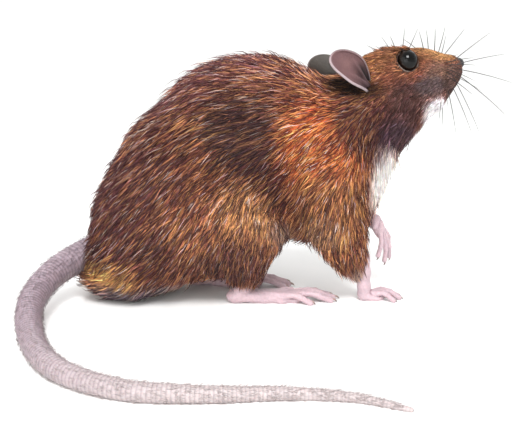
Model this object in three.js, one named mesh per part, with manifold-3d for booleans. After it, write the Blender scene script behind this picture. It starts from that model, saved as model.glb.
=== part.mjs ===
// A life-size field mouse, standing with its head raised and one forepaw lifted.
//
// The model is in millimetres, +Z up. The mouse faces +X, its left side is +Y, and its soles rest
// on the floor. The flesh with its coat is one smooth field of ellipsoids and limbs, meshed as a
// whole and then parted into head, neck, trunk and legs by thin cuts. The bare feet are tubes joined
// to the ends of the legs, and the tail is one tube in five lengths, most of it laid on the floor.
// Each whisker pad carries its longest whiskers, which are drawn stouter than real ones.

import * as THREE from "three";
import { mergeVertices } from "three/addons/utils/BufferGeometryUtils.js";
import Module from "manifold-3d";

const wasm = await Module();
wasm.setup();

const at = (x, y, z) => new THREE.Vector3(x, y, z);
const degrees = THREE.MathUtils.degToRad;

// ---------------------------------------------------------------- driving dimensions, mm and degrees

const GAP = 0.3; // the thin cut between two neighbours
const TOLERANCE = 0.01; // slivers thinner than this go as solids are joined and cut
const STANCE = 7.2; // from the midline to the middle of a hind foot
const HEAD_YAW = 12; // the nose turns to the animal's left
const EYE_RADIUS = 2.55;
const EAR_LENGTH = 13.8;
const EAR_WIDTH = 9.4; // measured round the cup
const EAR_CUP = 3.0; // how deep the ear is cupped
const EAR_THICKNESS = 0.8;
const NOSE = at(1.35, 1.5, 1.25); // half sizes of the bare tip
const NOSE_PITCH = 15;
const WHISKER_LENGTHS = [13.0, 13.0, 14.0, 15.0, 15.5]; // from the nose's bridge to the lip
const WHISKER_THICKNESS = 0.5;
const WHISKER_FAN = { first: 38, last: 164, outward: 40 }; // degrees from upright forwards, and out
const HIND_FOOT_LENGTH = 25.5; // heel to claw tips
const FOREPAW_LENGTH = 10.8; // wrist to claw tips
const SOLE_FLAT = 0.2; // how much of each sole and of the tail is pressed flat
const TAIL_RADIUS = 3.3;
const TAIL_ROOT_SWELL = 1.2; // how much thicker the tail is where it leaves the rump
const TAIL_TIP_RADIUS = 0.45;
const TAIL_LENGTHS = 5;

const BODY_CELL = 4.3; // mesh size on the body
const HEAD_CELL = 2.5; // mesh size on the head
const SIDES = { right: -1, left: 1 };

const FINISHES = {
  coat: { color: 0x8a4a22, roughness: 0.9 },
  face: { color: 0x95602f, roughness: 0.9 },
  chin: { color: 0xd9cfc2, roughness: 0.9 },
  bare: { color: 0xdcb4b0, roughness: 0.6 },
  tail: { color: 0xa89a98, roughness: 0.65 },
  ear: { color: 0x6f5652, roughness: 0.75 },
  eye: { color: 0x0b0908, roughness: 0.08 },
  nose: { color: 0x2c2429, roughness: 0.45 },
};

// ---------------------------------------------------------------- the field of the furred body

/** Distance to an ellipsoid, pitched nose-up about its own centre by `pitch` degrees. */
function ellipsoid(centre, radii, pitch = 0) {
  const c = Math.cos(degrees(pitch));
  const s = Math.sin(degrees(pitch));
  return (p) => {
    const dx = p.x - centre.x;
    const dz = p.z - centre.z;
    const x = (dx * c + dz * s) / radii.x;
    const y = (p.y - centre.y) / radii.y;
    const z = (dz * c - dx * s) / radii.z;
    const scaled = Math.hypot(x, y, z);
    const slope = Math.hypot(x / radii.x, y / radii.y, z / radii.z) || 1e-9;
    return (scaled * (scaled - 1)) / slope;
  };
}

/** Distance to a round limb from `a` to `b`, whose radius runs from `ra` to `rb`. */
function limb(a, b, ra, rb) {
  const axis = b.clone().sub(a);
  const lengthSq = axis.lengthSq();
  const nearest = at(0, 0, 0);
  return (p) => {
    const along = nearest.copy(p).sub(a).dot(axis) / lengthSq;
    const t = THREE.MathUtils.clamp(along, 0, 1);
    nearest.copy(a).addScaledVector(axis, t);
    return p.distanceTo(nearest) - THREE.MathUtils.lerp(ra, rb, t);
  };
}

/** Several shapes as one, their joins rounded over `blend` mm. */
function melded(blend, shapes) {
  return (p) =>
    shapes.reduce((joined, shape) => {
      const d = shape(p);
      const near = Math.max(blend - Math.abs(joined - d), 0) / blend;
      return Math.min(joined, d) - (near * near * blend) / 4;
    }, 1e3);
}

/** The same shape moved by a matrix. */
function moved(shape, pose) {
  const back = pose.clone().invert();
  const q = at(0, 0, 0);
  return (p) => shape(q.copy(p).applyMatrix4(back));
}

const trunkForm = melded(5, [
  ellipsoid(at(-20.2, 0, 17.4), at(14.4, 15.4, 16.6)), // pelvis
  ellipsoid(at(-15.0, 0, 30.8), at(12.9, 13.8, 13.4)), // croup
  ellipsoid(at(-1.4, 0, 37.8), at(17.4, 15.2, 17.7)), // loin
  ellipsoid(at(7.2, 0, 40.7), at(15.4, 14.0, 15.4)), // ribs
  ellipsoid(at(7.5, 0, 27.6), at(15.0, 12.6, 13.6)), // belly
  ellipsoid(at(22.4, 0, 30.8), at(12.6, 10.6, 14.6)), // chest
  ellipsoid(at(-28.0, 0, 7.8), at(9.2, 12.6, 7.4)), // rump over the tail root
]);

const neckForm = melded(4, [
  limb(at(18.0, 0, 42.2), at(30.5, 0, 46.6), 11.4, 8.4),
  limb(at(25.0, 0, 37.0), at(33.6, 0, 41.8), 9.6, 7.4), // throat
]);

/** The head, as it is before the neck turns it. */
const headForm = melded(2.2, [
  ellipsoid(at(33.6, 0, 50.6), at(9.4, 7.4, 7.9), 15), // braincase
  ellipsoid(at(40.4, 0, 52.4), at(8.6, 6.0, 6.2), 8), // orbits
  limb(at(43.5, 0, 52.6), at(49.4, 0, 53.7), 5.1, 3.4), // muzzle
  limb(at(35.0, 3.0, 44.8), at(43.2, 1.4, 47.4), 5.8, 4.7), // left jaw
  limb(at(35.0, -3.0, 44.8), at(43.2, -1.4, 47.4), 5.8, 4.7), // right jaw
  limb(at(43.6, 0, 47.2), at(48.0, 0, 49.6), 3.8, 2.8), // chin
  ellipsoid(at(47.8, 2.0, 52.4), at(3.6, 2.1, 3.2), 20), // left whisker pad
  ellipsoid(at(47.8, -2.0, 52.4), at(3.6, 2.1, 3.2), 20), // right whisker pad
]);

/** How the neck turns the head and what is on it. */
const NECK_PIVOT = at(28, 0, 47);
const HEAD_TURN = new THREE.Matrix4()
  .makeTranslation(NECK_PIVOT)
  .multiply(new THREE.Matrix4().makeRotationZ(degrees(HEAD_YAW)))
  .multiply(new THREE.Matrix4().makeTranslation(NECK_PIVOT.clone().negate()));

/** Joints of each leg. The right side carries the weight; the left forepaw is lifted. */
const LEGS = {
  right: {
    hip: at(-6.2, -9.2, 20.6),
    knee: at(3.0, -10.2, 16.2),
    ankle: at(1.6, -STANCE, 4.8),
    heel: at(-1.9, -STANCE, 0),
    shoulder: at(20.6, -7.4, 31.0),
    elbow: at(23.6, -8.2, 16.8),
    wrist: at(28.6, -5.4, 6.6),
    paw: at(28.0, -5.4, 0),
  },
  left: {
    hip: at(-13.0, 9.2, 20.6),
    knee: at(-4.8, 10.2, 16.2),
    ankle: at(-8.6, STANCE, 4.8),
    heel: at(-12.1, STANCE, 0),
    shoulder: at(20.6, 7.4, 31.0),
    elbow: at(24.4, 8.0, 21.0),
    wrist: at(30.8, 6.2, 18.6),
    paw: at(32.6, 6.2, 17.2),
  },
};

const THIGH = at(13.4, 7.4, 12.8);

function hindForm(leg) {
  return melded(3, [
    ellipsoid(leg.hip, THIGH, -20),
    limb(leg.knee, leg.ankle, 5.6, 2.5),
    limb(leg.hip, leg.knee, 7.5, 6.2),
  ]);
}

function foreForm(leg) {
  return melded(2.5, [
    limb(leg.shoulder, leg.elbow, 7.0, 5.4),
    limb(leg.elbow, leg.wrist, 4.8, 2.3),
  ]);
}

const furredBody = melded(3.2, [
  trunkForm,
  neckForm,
  moved(headForm, HEAD_TURN),
  ...Object.keys(SIDES).flatMap((side) => [hindForm(LEGS[side]), foreForm(LEGS[side])]),
]);

/** The skin of the field inside a box, as quads with one corner for each cell that it crosses. */
function meshField(field, box, cell) {
  const size = box.getSize(at(0, 0, 0));
  const n = ["x", "y", "z"].map((k) => Math.ceil(size[k] / cell) + 1);
  const node = (i, j, k) => (k * n[1] + j) * n[0] + i;
  const place = (i, j, k) => at(i, j, k).multiplyScalar(cell).add(box.min);
  const value = new Float64Array(n[0] * n[1] * n[2]);
  const each = (visit) => {
    for (let k = 0; k < n[2] - 1; k++)
      for (let j = 0; j < n[1] - 1; j++)
        for (let i = 0; i < n[0] - 1; i++) visit(i, j, k);
  };
  const onBorder = (i, j, k) => [i, j, k].some((m, axis) => m === 0 || m === n[axis] - 1);
  for (let k = 0; k < n[2]; k++)
    for (let j = 0; j < n[1]; j++)
      for (let i = 0; i < n[0]; i++)
        value[node(i, j, k)] = onBorder(i, j, k) ? cell : field(place(i, j, k));

  const gradient = (p, h = 0.05) =>
    at(
      field(at(p.x + h, p.y, p.z)) - field(at(p.x - h, p.y, p.z)),
      field(at(p.x, p.y + h, p.z)) - field(at(p.x, p.y - h, p.z)),
      field(at(p.x, p.y, p.z + h)) - field(at(p.x, p.y, p.z - h)),
    ).divideScalar(2 * h);

  const corners = [];
  const cornerOf = new Map();
  each((i, j, k) => {
    let inside = 0;
    for (let c = 0; c < 8; c++) inside += value[node(i + (c & 1), j + ((c >> 1) & 1), k + (c >> 2))] < 0;
    if (inside === 0 || inside === 8) return;
    const p = place(i + 0.5, j + 0.5, k + 0.5);
    const low = place(i, j, k);
    const high = place(i + 1, j + 1, k + 1);
    for (let step = 0; step < 6; step++) {
      const g = gradient(p);
      p.addScaledVector(g, -field(p) / Math.max(g.lengthSq(), 1e-6)).clamp(low, high);
    }
    cornerOf.set(node(i, j, k), corners.length);
    corners.push(p);
  });

  const index = [];
  const quad = (a, b, c, d, flip) => {
    const [p, q, r, s] = [a, b, c, d].map((m) => corners[m]);
    const ring = p.distanceTo(r) < q.distanceTo(s) ? [a, b, c, a, c, d] : [b, c, d, b, d, a];
    if (flip) ring.reverse();
    index.push(...ring);
  };
  const steps = [at(1, 0, 0), at(0, 1, 0), at(0, 0, 1)];
  each((i, j, k) => {
    const here = value[node(i, j, k)];
    steps.forEach((u, axis) => {
      const there = value[node(i + u.x, j + u.y, k + u.z)];
      if (here < 0 === there < 0) return;
      const v = steps[(axis + 1) % 3];
      const w = steps[(axis + 2) % 3];
      const around = [at(0, 0, 0), v, v.clone().add(w), w].map((o) =>
        cornerOf.get(node(i - o.x, j - o.y, k - o.z)),
      );
      quad(...around, here >= 0);
    });
  });

  const geometry = new THREE.BufferGeometry().setFromPoints(corners);
  geometry.setIndex(index);
  return geometry;
}

// ---------------------------------------------------------------- solids and cutters

/** A closed geometry as a solid, moved by a matrix. */
function solid(geometry, pose = new THREE.Matrix4()) {
  const bare = geometry.clone().applyMatrix4(pose);
  bare.deleteAttribute("normal");
  bare.deleteAttribute("uv");
  const merged = mergeVertices(bare, 1e-4);
  if (pose.determinant() < 0) merged.index.array.reverse();
  return new wasm.Manifold(
    new wasm.Mesh({
      numProp: 3,
      tolerance: TOLERANCE,
      vertProperties: merged.attributes.position.array,
      triVerts: new Uint32Array(merged.index.array),
    }),
  );
}

/** Geometries in one frame, moved by a matrix and joined. */
function joined(geometries, pose) {
  return geometries.map((geometry) => solid(geometry, pose)).reduce((all, shape) => all.add(shape));
}

/** The largest piece of a solid, without the crumbs that a cut can leave. */
function largest(shape) {
  return shape.decompose().sort((a, b) => b.volume() - a.volume())[0];
}

/** The turn that takes +X to a direction. */
function turnTo(direction) {
  return new THREE.Quaternion().setFromUnitVectors(at(1, 0, 0), direction.clone().normalize());
}

/** A box to cut with: its near face passes `from` and its length runs along `facing`. */
function block(from, facing, { length = 60, width = 80, height = 80 } = {}, pose = undefined) {
  return (grow) => {
    const geometry = new THREE.BoxGeometry(length + 2 * grow, width + 2 * grow, height + 2 * grow);
    geometry.translate(length / 2, 0, 0);
    geometry.applyQuaternion(turnTo(facing));
    geometry.translate(from.x, from.y, from.z);
    return solid(geometry, pose);
  };
}

/** A drum from `from` to `to`, its ends of two radii. */
function drum(from, to, radius, { endRadius = radius, sides = 16 } = {}, pose = undefined) {
  const axis = to.clone().sub(from);
  return (grow) => {
    const length = axis.length() + 2 * grow;
    const geometry = new THREE.CylinderGeometry(endRadius + grow, radius + grow, length, sides);
    geometry.rotateZ(-Math.PI / 2);
    geometry.applyQuaternion(turnTo(axis));
    geometry.translate(from.x + axis.x / 2, from.y + axis.y / 2, from.z + axis.z / 2);
    return solid(geometry, pose);
  };
}

/** A closed round tube along a curve: a sphere's rings strung on it, gathered at its rounded ends. */
function strung(curve, radiusAt, { sides = 8, rings = 8, flatten = 1, gather = 0.7 } = {}) {
  const geometry = new THREE.SphereGeometry(1, sides, rings);
  const position = geometry.attributes.position;
  const length = curve.getLength();
  const p = at(0, 0, 0);
  for (let i = 0; i < position.count; i++) {
    p.fromBufferAttribute(position, i);
    const share = Math.acos(THREE.MathUtils.clamp(p.y, -1, 1)) / Math.PI;
    const gathered = share - (gather * Math.sin(2 * Math.PI * share)) / (2 * Math.PI);
    const t = THREE.MathUtils.clamp(gathered, 0, 1);
    const fromEnd = Math.min((Math.min(t, 1 - t) * length) / radiusAt(t), 1);
    const radius = radiusAt(t) * Math.sqrt(fromEnd * (2 - fromEnd));
    const angle = Math.atan2(p.z, p.x);
    const tangent = curve.getTangentAt(t);
    const across = at(0, 0, 1).cross(tangent);
    if (across.lengthSq() < 1e-4) across.set(0, 1, 0);
    across.normalize();
    const upward = tangent.clone().cross(across);
    const spot = curve.getPointAt(t);
    spot.addScaledVector(across, radius * Math.cos(angle));
    spot.addScaledVector(upward, radius * flatten * Math.sin(angle));
    position.setXYZ(i, spot.x, spot.y, spot.z);
  }
  return geometry;
}

/** A tube through a few points, its radius running from `ra` to `rb`. */
function tube(points, ra, rb, options) {
  const curve = new THREE.CatmullRomCurve3(points);
  return strung(curve, (t) => THREE.MathUtils.lerp(ra, rb, t), options);
}

// ---------------------------------------------------------------- feet

/** Toes from the inner side outwards: where each leaves the foot, how long it is and how it splays. */
const HIND_TOES = [
  { start: 0.46, offset: 1.7, length: 0.22, splay: 20 },
  { start: 0.6, offset: 1.15, length: 0.37, splay: 9 },
  { start: 0.62, offset: 0.05, length: 0.385, splay: 1 },
  { start: 0.6, offset: -1.05, length: 0.37, splay: -7 },
  { start: 0.48, offset: -1.75, length: 0.29, splay: -17 },
];
const FORE_TOES = [
  { start: 0.42, offset: 1.1, length: 0.48, splay: 24 },
  { start: 0.48, offset: 0.4, length: 0.53, splay: 7 },
  { start: 0.48, offset: -0.4, length: 0.52, splay: -7 },
  { start: 0.4, offset: -1.1, length: 0.45, splay: -26 },
];

/** One toe with its claw, `droop` degrees down from level. */
function toe({ from, heading, reach, radius, droop }) {
  const point = (share, height) => {
    const fall = degrees(droop) * share;
    const level = share * reach * Math.cos(fall);
    const x = from.x + level * Math.cos(heading);
    const y = from.y + level * Math.sin(heading);
    return at(x, y, height * radius - share * reach * Math.sin(fall));
  };
  const knuckles = [point(-0.3, 1.5), point(0.15, 2.0), point(0.5, 1.9), point(0.84, 0.9)];
  const curve = new THREE.CatmullRomCurve3(knuckles);
  const knuckled = (t) => radius * (1.12 - 0.16 * t - 0.12 * Math.sin(2 * Math.PI * t));
  const claw = [point(0.76, 1.25), point(0.92, 1.3), point(1.0, 0.6)];
  return [
    strung(curve, knuckled, { sides: 5, rings: 5, gather: 0.4 }),
    tube(claw, 0.6 * radius, 0.34 * radius, { sides: 4, rings: 2, gather: 0 }),
  ];
}

/** The geometries of a bare foot that points along +X from its heel or wrist, its sole on z = 0. */
function foot({ length, toes, toeRadius, palmRadius, palmRise, inner, droop = 0 }) {
  const palmEnd = Math.max(...toes.map((one) => one.start)) * length;
  const palm = new THREE.CatmullRomCurve3([
    at(-0.03 * length, 0, palmRise),
    at(0.3 * palmEnd, 0, palmRadius * 0.75),
    at(palmEnd * 0.75, 0, palmRadius * 0.62),
    at(palmEnd * 1.06, 0, palmRadius * 0.42),
  ]);
  const wide = (t) => palmRadius * (1 + 0.5 * t - 0.28 * t * t);
  const fingers = toes.flatMap(({ start, offset, length: share, splay }) =>
    toe({
      from: at(start * length, inner * offset, 0),
      heading: degrees(inner * splay),
      reach: share * length,
      radius: toeRadius,
      droop,
    }),
  );
  return [strung(palm, wide, { sides: 7, rings: 6, flatten: 0.66 }), ...fingers];
}

/** Where a foot is: at `place`, rolled about its length, tipped down by `pitch` and turned by `yaw`. */
function footing(place, yaw, pitch = 0, roll = 0) {
  const turn = new THREE.Euler(degrees(roll), degrees(pitch), degrees(yaw), "ZYX");
  return new THREE.Matrix4().makeRotationFromEuler(turn).setPosition(place);
}

function hindFoot(side) {
  const { heel, ankle } = LEGS[side];
  const shapes = foot({
    length: HIND_FOOT_LENGTH,
    toes: HIND_TOES,
    toeRadius: 0.78,
    palmRadius: 2.1,
    palmRise: 1.7,
    inner: -SIDES[side],
  });
  const hock = [at(1.0, 0, 1.6), at(2.2, 0, 3.4), at(ankle.x - heel.x, 0, ankle.z + 2.7)];
  shapes.push(tube(hock, 1.8, 2.1, { sides: 9, rings: 5, flatten: 0.9 }));
  return joined(shapes, footing(at(heel.x, heel.y, -SOLE_FLAT), -4 * SIDES[side]));
}

const FOREPAW = {
  length: FOREPAW_LENGTH,
  toes: FORE_TOES,
  toeRadius: 0.62,
  palmRadius: 1.45,
  palmRise: 1.5,
};

function standingPaw(side) {
  const { wrist, paw } = LEGS[side];
  const shapes = foot({ ...FOREPAW, inner: -SIDES[side] });
  const shank = [at(0.6, 0, 1.2), at(0.1, 0, 2.8), at(wrist.x - paw.x, 0, wrist.z + 1.5)];
  shapes.push(tube(shank, 1.25, 1.75, { sides: 7, rings: 5 }));
  return joined(shapes, footing(at(paw.x, paw.y, -SOLE_FLAT), -6 * SIDES[side]));
}

function liftedPaw(side) {
  const { elbow, wrist, paw } = LEGS[side];
  const shapes = foot({ ...FOREPAW, inner: -SIDES[side], droop: 26 });
  const hand = joined(shapes, footing(paw, 4, 68, 35));
  const shank = [elbow.clone().lerp(wrist, 0.7), wrist, paw.clone().add(at(0.8, 0, -1.4))];
  return hand.add(solid(tube(shank, 1.9, 1.5, { sides: 7, rings: 5 })));
}

// ---------------------------------------------------------------- tail

/** Tail radius at a share of its length: a quick taper off the root, then an even one to the tip. */
function tailRadius(t) {
  const even = TAIL_TIP_RADIUS + (TAIL_RADIUS - TAIL_TIP_RADIUS) * (1 - t) ** 0.75;
  return even + TAIL_ROOT_SWELL * Math.exp(-9 * t);
}

/** The tail's way: off the rump, down, and round on the floor in front of the animal's right side. */
function tailCurve() {
  const hanging = [
    at(-27.0, 0, 12.6),
    at(-35.0, -0.6, 10.8),
    at(-42.2, -8.4, 8.0),
    at(-44.6, -20.0, 5.0),
  ];
  const lying = [
    [-41.2, -34.0],
    [-31.6, -50.6],
    [-18.6, -58.6],
    [-5.0, -59.8],
    [10.0, -58.8],
    [21.0, -59.8],
    [29.8, -63.6],
  ].map(([x, y]) => at(x, y, TAIL_RADIUS / 2));
  const points = [...hanging, ...lying];
  const runs = points.map((p, i) => (i ? p.distanceTo(points[i - 1]) : 0));
  const whole = runs.reduce((sum, run) => sum + run);
  let gone = 0;
  points.forEach((p, i) => {
    gone += runs[i];
    if (lying.includes(p)) p.z = tailRadius(gone / whole) - SOLE_FLAT;
  });
  return new THREE.CatmullRomCurve3(points, false, "centripetal");
}

/** The tail in a few lengths, root first, with a short stump of it that stays on the rump. */
function tail() {
  const curve = tailCurve();
  const stumpEnd = 0.1;
  const step = (1 - stumpEnd) / TAIL_LENGTHS;
  const starts = Array.from({ length: TAIL_LENGTHS }, (_, i) => stumpEnd + step * i);
  let rest = solid(strung(curve, tailRadius, { sides: 8, rings: 27 }));
  const lengths = [];
  for (const t of starts.reverse()) {
    const slice = { length: GAP, width: 16, height: 16 };
    const cut = block(curve.getPointAt(t), curve.getTangentAt(t), slice);
    const pieces = rest.subtract(cut(0)).decompose();
    const tip = curve.getPointAt(Math.min(t + step, 1) - 0.02);
    pieces.sort((a, b) => reachOf(a).distanceToPoint(tip) - reachOf(b).distanceToPoint(tip));
    lengths.unshift(pieces[0]);
    rest = pieces[1];
  }
  return { stump: rest, lengths };
}

/** The box round a solid. */
function reachOf(shape) {
  const { min, max } = shape.boundingBox();
  return new THREE.Box3(at(...min), at(...max));
}

// ---------------------------------------------------------------- ears, eyes, nose and whiskers

/** Where each ear is rooted, where its tip points and which way its hollow faces, as on the left. */
const EARS = {
  right: { root: at(28.4, 6.0, 48.6), tip: at(-0.78, 0.24, 0.58), hollow: at(0.32, 0.9, 0.16) },
  left: { root: at(29.4, 6.0, 48.2), tip: at(-0.8, 0.26, 0.53), hollow: at(0.32, 0.9, 0.2) },
};

/** A cupped ear: a thin oval leaf, rolled round its long axis, full in front and narrowed to a stalk. */
function ear(side, grow) {
  const geometry = new THREE.SphereGeometry(1, 14, 7);
  geometry.rotateX(Math.PI / 2);
  const position = geometry.attributes.position;
  const p = at(0, 0, 0);
  for (let i = 0; i < position.count; i++) {
    p.fromBufferAttribute(position, i);
    const open = THREE.MathUtils.smoothstep(p.x, -1, 0.2);
    const across = p.y * (EAR_WIDTH / 2 + grow) * (0.42 + 0.58 * open);
    const roll = (2 * across / EAR_WIDTH) ** 2;
    const leaf = Math.sign(p.z) * (EAR_THICKNESS / 2 + grow) * Math.abs(p.z) ** 0.45;
    position.setXYZ(
      i,
      (p.x + 1) * (EAR_LENGTH / 2 + grow) - grow,
      across * (1 - 0.16 * roll) + 1.1 * (1 - p.x * p.x),
      leaf + EAR_CUP * roll * (1.25 - 0.5 * open),
    );
  }
  const { root, tip, hollow } = EARS[side];
  const along = tip.clone().normalize();
  const forward = hollow.clone().cross(along).normalize();
  const outward = along.clone().cross(forward);
  const pose = new THREE.Matrix4().makeBasis(along, forward, outward).setPosition(root);
  const onSide = new THREE.Matrix4().makeScale(1, SIDES[side], 1);
  return solid(geometry, HEAD_TURN.clone().multiply(onSide).multiply(pose));
}

const EYE_SEAT = at(37.25, 4.5, 55.5);
const NOSE_SEAT = at(52.0, 0, 55.0);

function eye(side, grow) {
  const geometry = new THREE.SphereGeometry(EYE_RADIUS + grow, 9, 7);
  geometry.translate(EYE_SEAT.x, EYE_SEAT.y * SIDES[side], EYE_SEAT.z);
  return solid(geometry, HEAD_TURN);
}

function nosePad(grow) {
  const geometry = new THREE.SphereGeometry(1, 8, 5);
  geometry.scale(NOSE.x + grow, NOSE.y + grow, NOSE.z + grow);
  geometry.rotateY(-degrees(NOSE_PITCH));
  geometry.translate(NOSE_SEAT.x, NOSE_SEAT.y, NOSE_SEAT.z);
  return solid(geometry, HEAD_TURN);
}

/** The round plug of the muzzle's left side that the whiskers grow from. */
const WHISKER_PAD = { inner: at(48.0, 1.4, 54.0), outer: at(48.0, 9.0, 54.0), radius: 2.2 };
/** How far the roots are from the midline, how that narrows upwards, and how far from the pad's middle. */
const WHISKER_ROOTS = { across: 3.4, narrowing: 0.6, arc: 1.3 };

function whiskerPad(side) {
  const onSide = (p) => at(p.x, p.y * SIDES[side], p.z);
  const { inner, outer, radius } = WHISKER_PAD;
  return drum(onSide(inner), onSide(outer), radius, { sides: 8 }, HEAD_TURN);
}

/** One side's longest whiskers, fanned round the front of their pad. */
function whiskers(side) {
  const { first, last, outward } = WHISKER_FAN;
  const radius = WHISKER_THICKNESS / 1.5; // of a three-sided rod
  const out = Math.sin(degrees(outward));
  const flat = Math.cos(degrees(outward));
  return WHISKER_LENGTHS.map((length, i) => {
    const lean = degrees(THREE.MathUtils.lerp(first, last, i / (WHISKER_LENGTHS.length - 1)));
    const round = at(Math.sin(lean), 0, Math.cos(lean));
    const across = WHISKER_ROOTS.across - WHISKER_ROOTS.narrowing * Math.cos(lean);
    const root = WHISKER_PAD.inner.clone().setY(SIDES[side] * across);
    root.addScaledVector(round, WHISKER_ROOTS.arc);
    const tip = root.clone().addScaledVector(round, length * flat);
    tip.y += SIDES[side] * length * out;
    return drum(root, tip, radius, { sides: 3 }, HEAD_TURN)(0);
  });
}

// ---------------------------------------------------------------- parting the animal

const NAPE = block(at(27.4, 0, 45.6), at(0.86, 0, 0.51));
const WITHERS = block(at(20.0, 0, 43.0), at(0.78, 0, 0.62));
const MOUTH_SIZE = { length: 24, width: 24, height: 11 };
const MOUTH = block(at(37.6, 0, 43.6), at(0.97, 0, 0.24), MOUTH_SIZE, HEAD_TURN);
const ABOVE_FLOOR = block(at(0, 0, 0), at(0, 0, 1), { length: 120, width: 260, height: 260 });
const HEAD_BOX = new THREE.Box3(at(20, -14, 32), at(56, 18, 66));
const BODY_BOX = new THREE.Box3(at(-42, -22, -4.5), at(46, 22, 64));

// the drums that part each leg: how far their flat ends are from the midline, and their radii
const THIGH_CUT = { inner: 5.5, radius: 14.2 };
const SHIN_CUT = { radius: 7.0, endRadius: 4.8, below: 4, sides: 12 };
const ARM_CUT = { inner: 3.6, radius: 9.6, outer: 30 };
const FOREARM_CUT = { radius: 7.5, endRadius: 5.0, beyond: 0.5, sides: 12 };
const CUFF = { length: 10, width: 70, height: 70 };
const WRISTBAND = { length: 30, width: 30, height: 30 };

const solids = new Map();

/** Cuts a named piece out of a solid, and gives back what is left of the solid. */
function carved(name, whole, cutter) {
  solids.set(name, largest(whole.intersect(cutter(0))));
  return largest(whole.subtract(cutter(GAP)));
}

/** Ends a furred limb where its bare foot begins. */
function shod(limbName, footName, bareFoot, cutter) {
  solids.set(limbName, largest(solids.get(limbName).subtract(cutter(GAP))));
  solids.set(footName, largest(bareFoot.intersect(cutter(0))));
}

let body = largest(solid(meshField(furredBody, BODY_BOX, BODY_CELL)).subtract(NAPE(GAP)));
body = carved("neck", body, WITHERS);

for (const [side, sign] of Object.entries(SIDES)) {
  const leg = LEGS[side];
  const outwards = (p, inner) => [at(p.x, sign * inner, p.z), at(p.x, sign * ARM_CUT.outer, p.z)];
  const thighMiddle = leg.hip.clone().add(at(-0.5, 0, 0));
  const thighCut = drum(...outwards(thighMiddle, THIGH_CUT.inner), THIGH_CUT.radius);
  const belowAnkle = leg.ankle.clone().add(at(0, 0, -SHIN_CUT.below));
  const armMiddle = leg.shoulder.clone().lerp(leg.elbow, 0.35);
  const armCut = drum(...outwards(armMiddle, ARM_CUT.inner), ARM_CUT.radius);
  const beyondWrist = leg.wrist.clone().lerp(leg.elbow, -FOREARM_CUT.beyond);
  body = carved("thigh_" + side, body, thighCut);
  body = carved("shin_" + side, body, drum(leg.knee, belowAnkle, SHIN_CUT.radius, SHIN_CUT));
  body = carved("upper_arm_" + side, body, armCut);
  body = carved("forearm_" + side, body, drum(leg.elbow, beyondWrist, FOREARM_CUT.radius, FOREARM_CUT));
}

const { stump, lengths } = tail();
solids.set("trunk", body.add(stump));
lengths.forEach((piece, i) => solids.set(`tail_${i + 1}`, piece));

let head = largest(solid(meshField(furredBody, HEAD_BOX, HEAD_CELL)).intersect(NAPE(0)));
solids.set("nose", nosePad(0));
head = head.subtract(nosePad(GAP));
for (const side of Object.keys(SIDES)) {
  solids.set("ear_" + side, ear(side, 0));
  solids.set("eye_" + side, eye(side, 0));
  head = head.subtract(ear(side, GAP)).subtract(eye(side, GAP));
  for (const name of ["neck", "trunk"]) solids.set(name, solids.get(name).subtract(ear(side, GAP)));
}
head = carved("jaw", head, MOUTH);
for (const side of Object.keys(SIDES)) {
  const name = "whiskers_" + side;
  head = carved(name, head, whiskerPad(side));
  solids.set(name, whiskers(side).reduce((all, one) => all.add(one), solids.get(name)));
}
solids.set("head", head);

for (const side of Object.keys(SIDES)) {
  const { ankle, wrist, elbow, paw } = LEGS[side];
  shod("shin_" + side, "hindfoot_" + side, hindFoot(side), block(ankle, at(0, 0, -1), CUFF));
  const bare = side === "left" ? liftedPaw(side) : standingPaw(side);
  const wristCut = block(wrist, paw.clone().sub(elbow), WRISTBAND);
  shod("forearm_" + side, "forepaw_" + side, bare, wristCut);
}

// ---------------------------------------------------------------- the finished group

const FINISH_OF = {
  head: "face",
  whiskers: "face",
  jaw: "chin",
  nose: "nose",
  ear: "ear",
  eye: "eye",
  tail: "tail",
  hindfoot: "bare",
  forepaw: "bare",
};

/** A solid as a named mesh of its own. */
function named(name, shape) {
  const { vertProperties, triVerts } = shape.getMesh();
  const geometry = new THREE.BufferGeometry();
  geometry.setAttribute("position", new THREE.BufferAttribute(vertProperties, 3));
  geometry.setIndex(new THREE.BufferAttribute(triVerts, 1));
  geometry.computeVertexNormals();
  const finish = FINISHES[FINISH_OF[name.split("_")[0]] ?? "coat"];
  const mesh = new THREE.Mesh(geometry, new THREE.MeshStandardMaterial({ ...finish, metalness: 0 }));
  mesh.name = name;
  return mesh;
}

const mouse = new THREE.Group();
for (const [name, shape] of solids) {
  mouse.add(named(name, largest(shape.intersect(ABOVE_FLOOR(0)))));
}

/** The origin goes under the middle of the animal, on the floor. */
const middle = new THREE.Box3().setFromObject(mouse).getCenter(at(0, 0, 0));
mouse.position.set(-middle.x, -middle.y, 0);

export default mouse;
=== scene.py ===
"""A life-size model of a field mouse that stands with its head raised and one forepaw lifted.

The animal is sculpted as one distance field in millimetres: ellipsoids and limbs melded into the
outline of the coat, drawn in by the coat's depth to give the skin, and worked over with lids,
nostrils, lips, toes and pads. The skin is meshed from that field, finely on the face and the feet,
and the ears and the ringed tail are lofted onto it. The coat is solid mesh: fine tapered locks that
are rooted in the skin, lie with the hair and follow the body's form to their tips.

The mouse faces +X with its soles on z = 0. Its left side is +Y.
"""

from __future__ import annotations

import logging
import math
from collections.abc import Callable, Sequence
from dataclasses import dataclass, field
from enum import Enum

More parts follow.
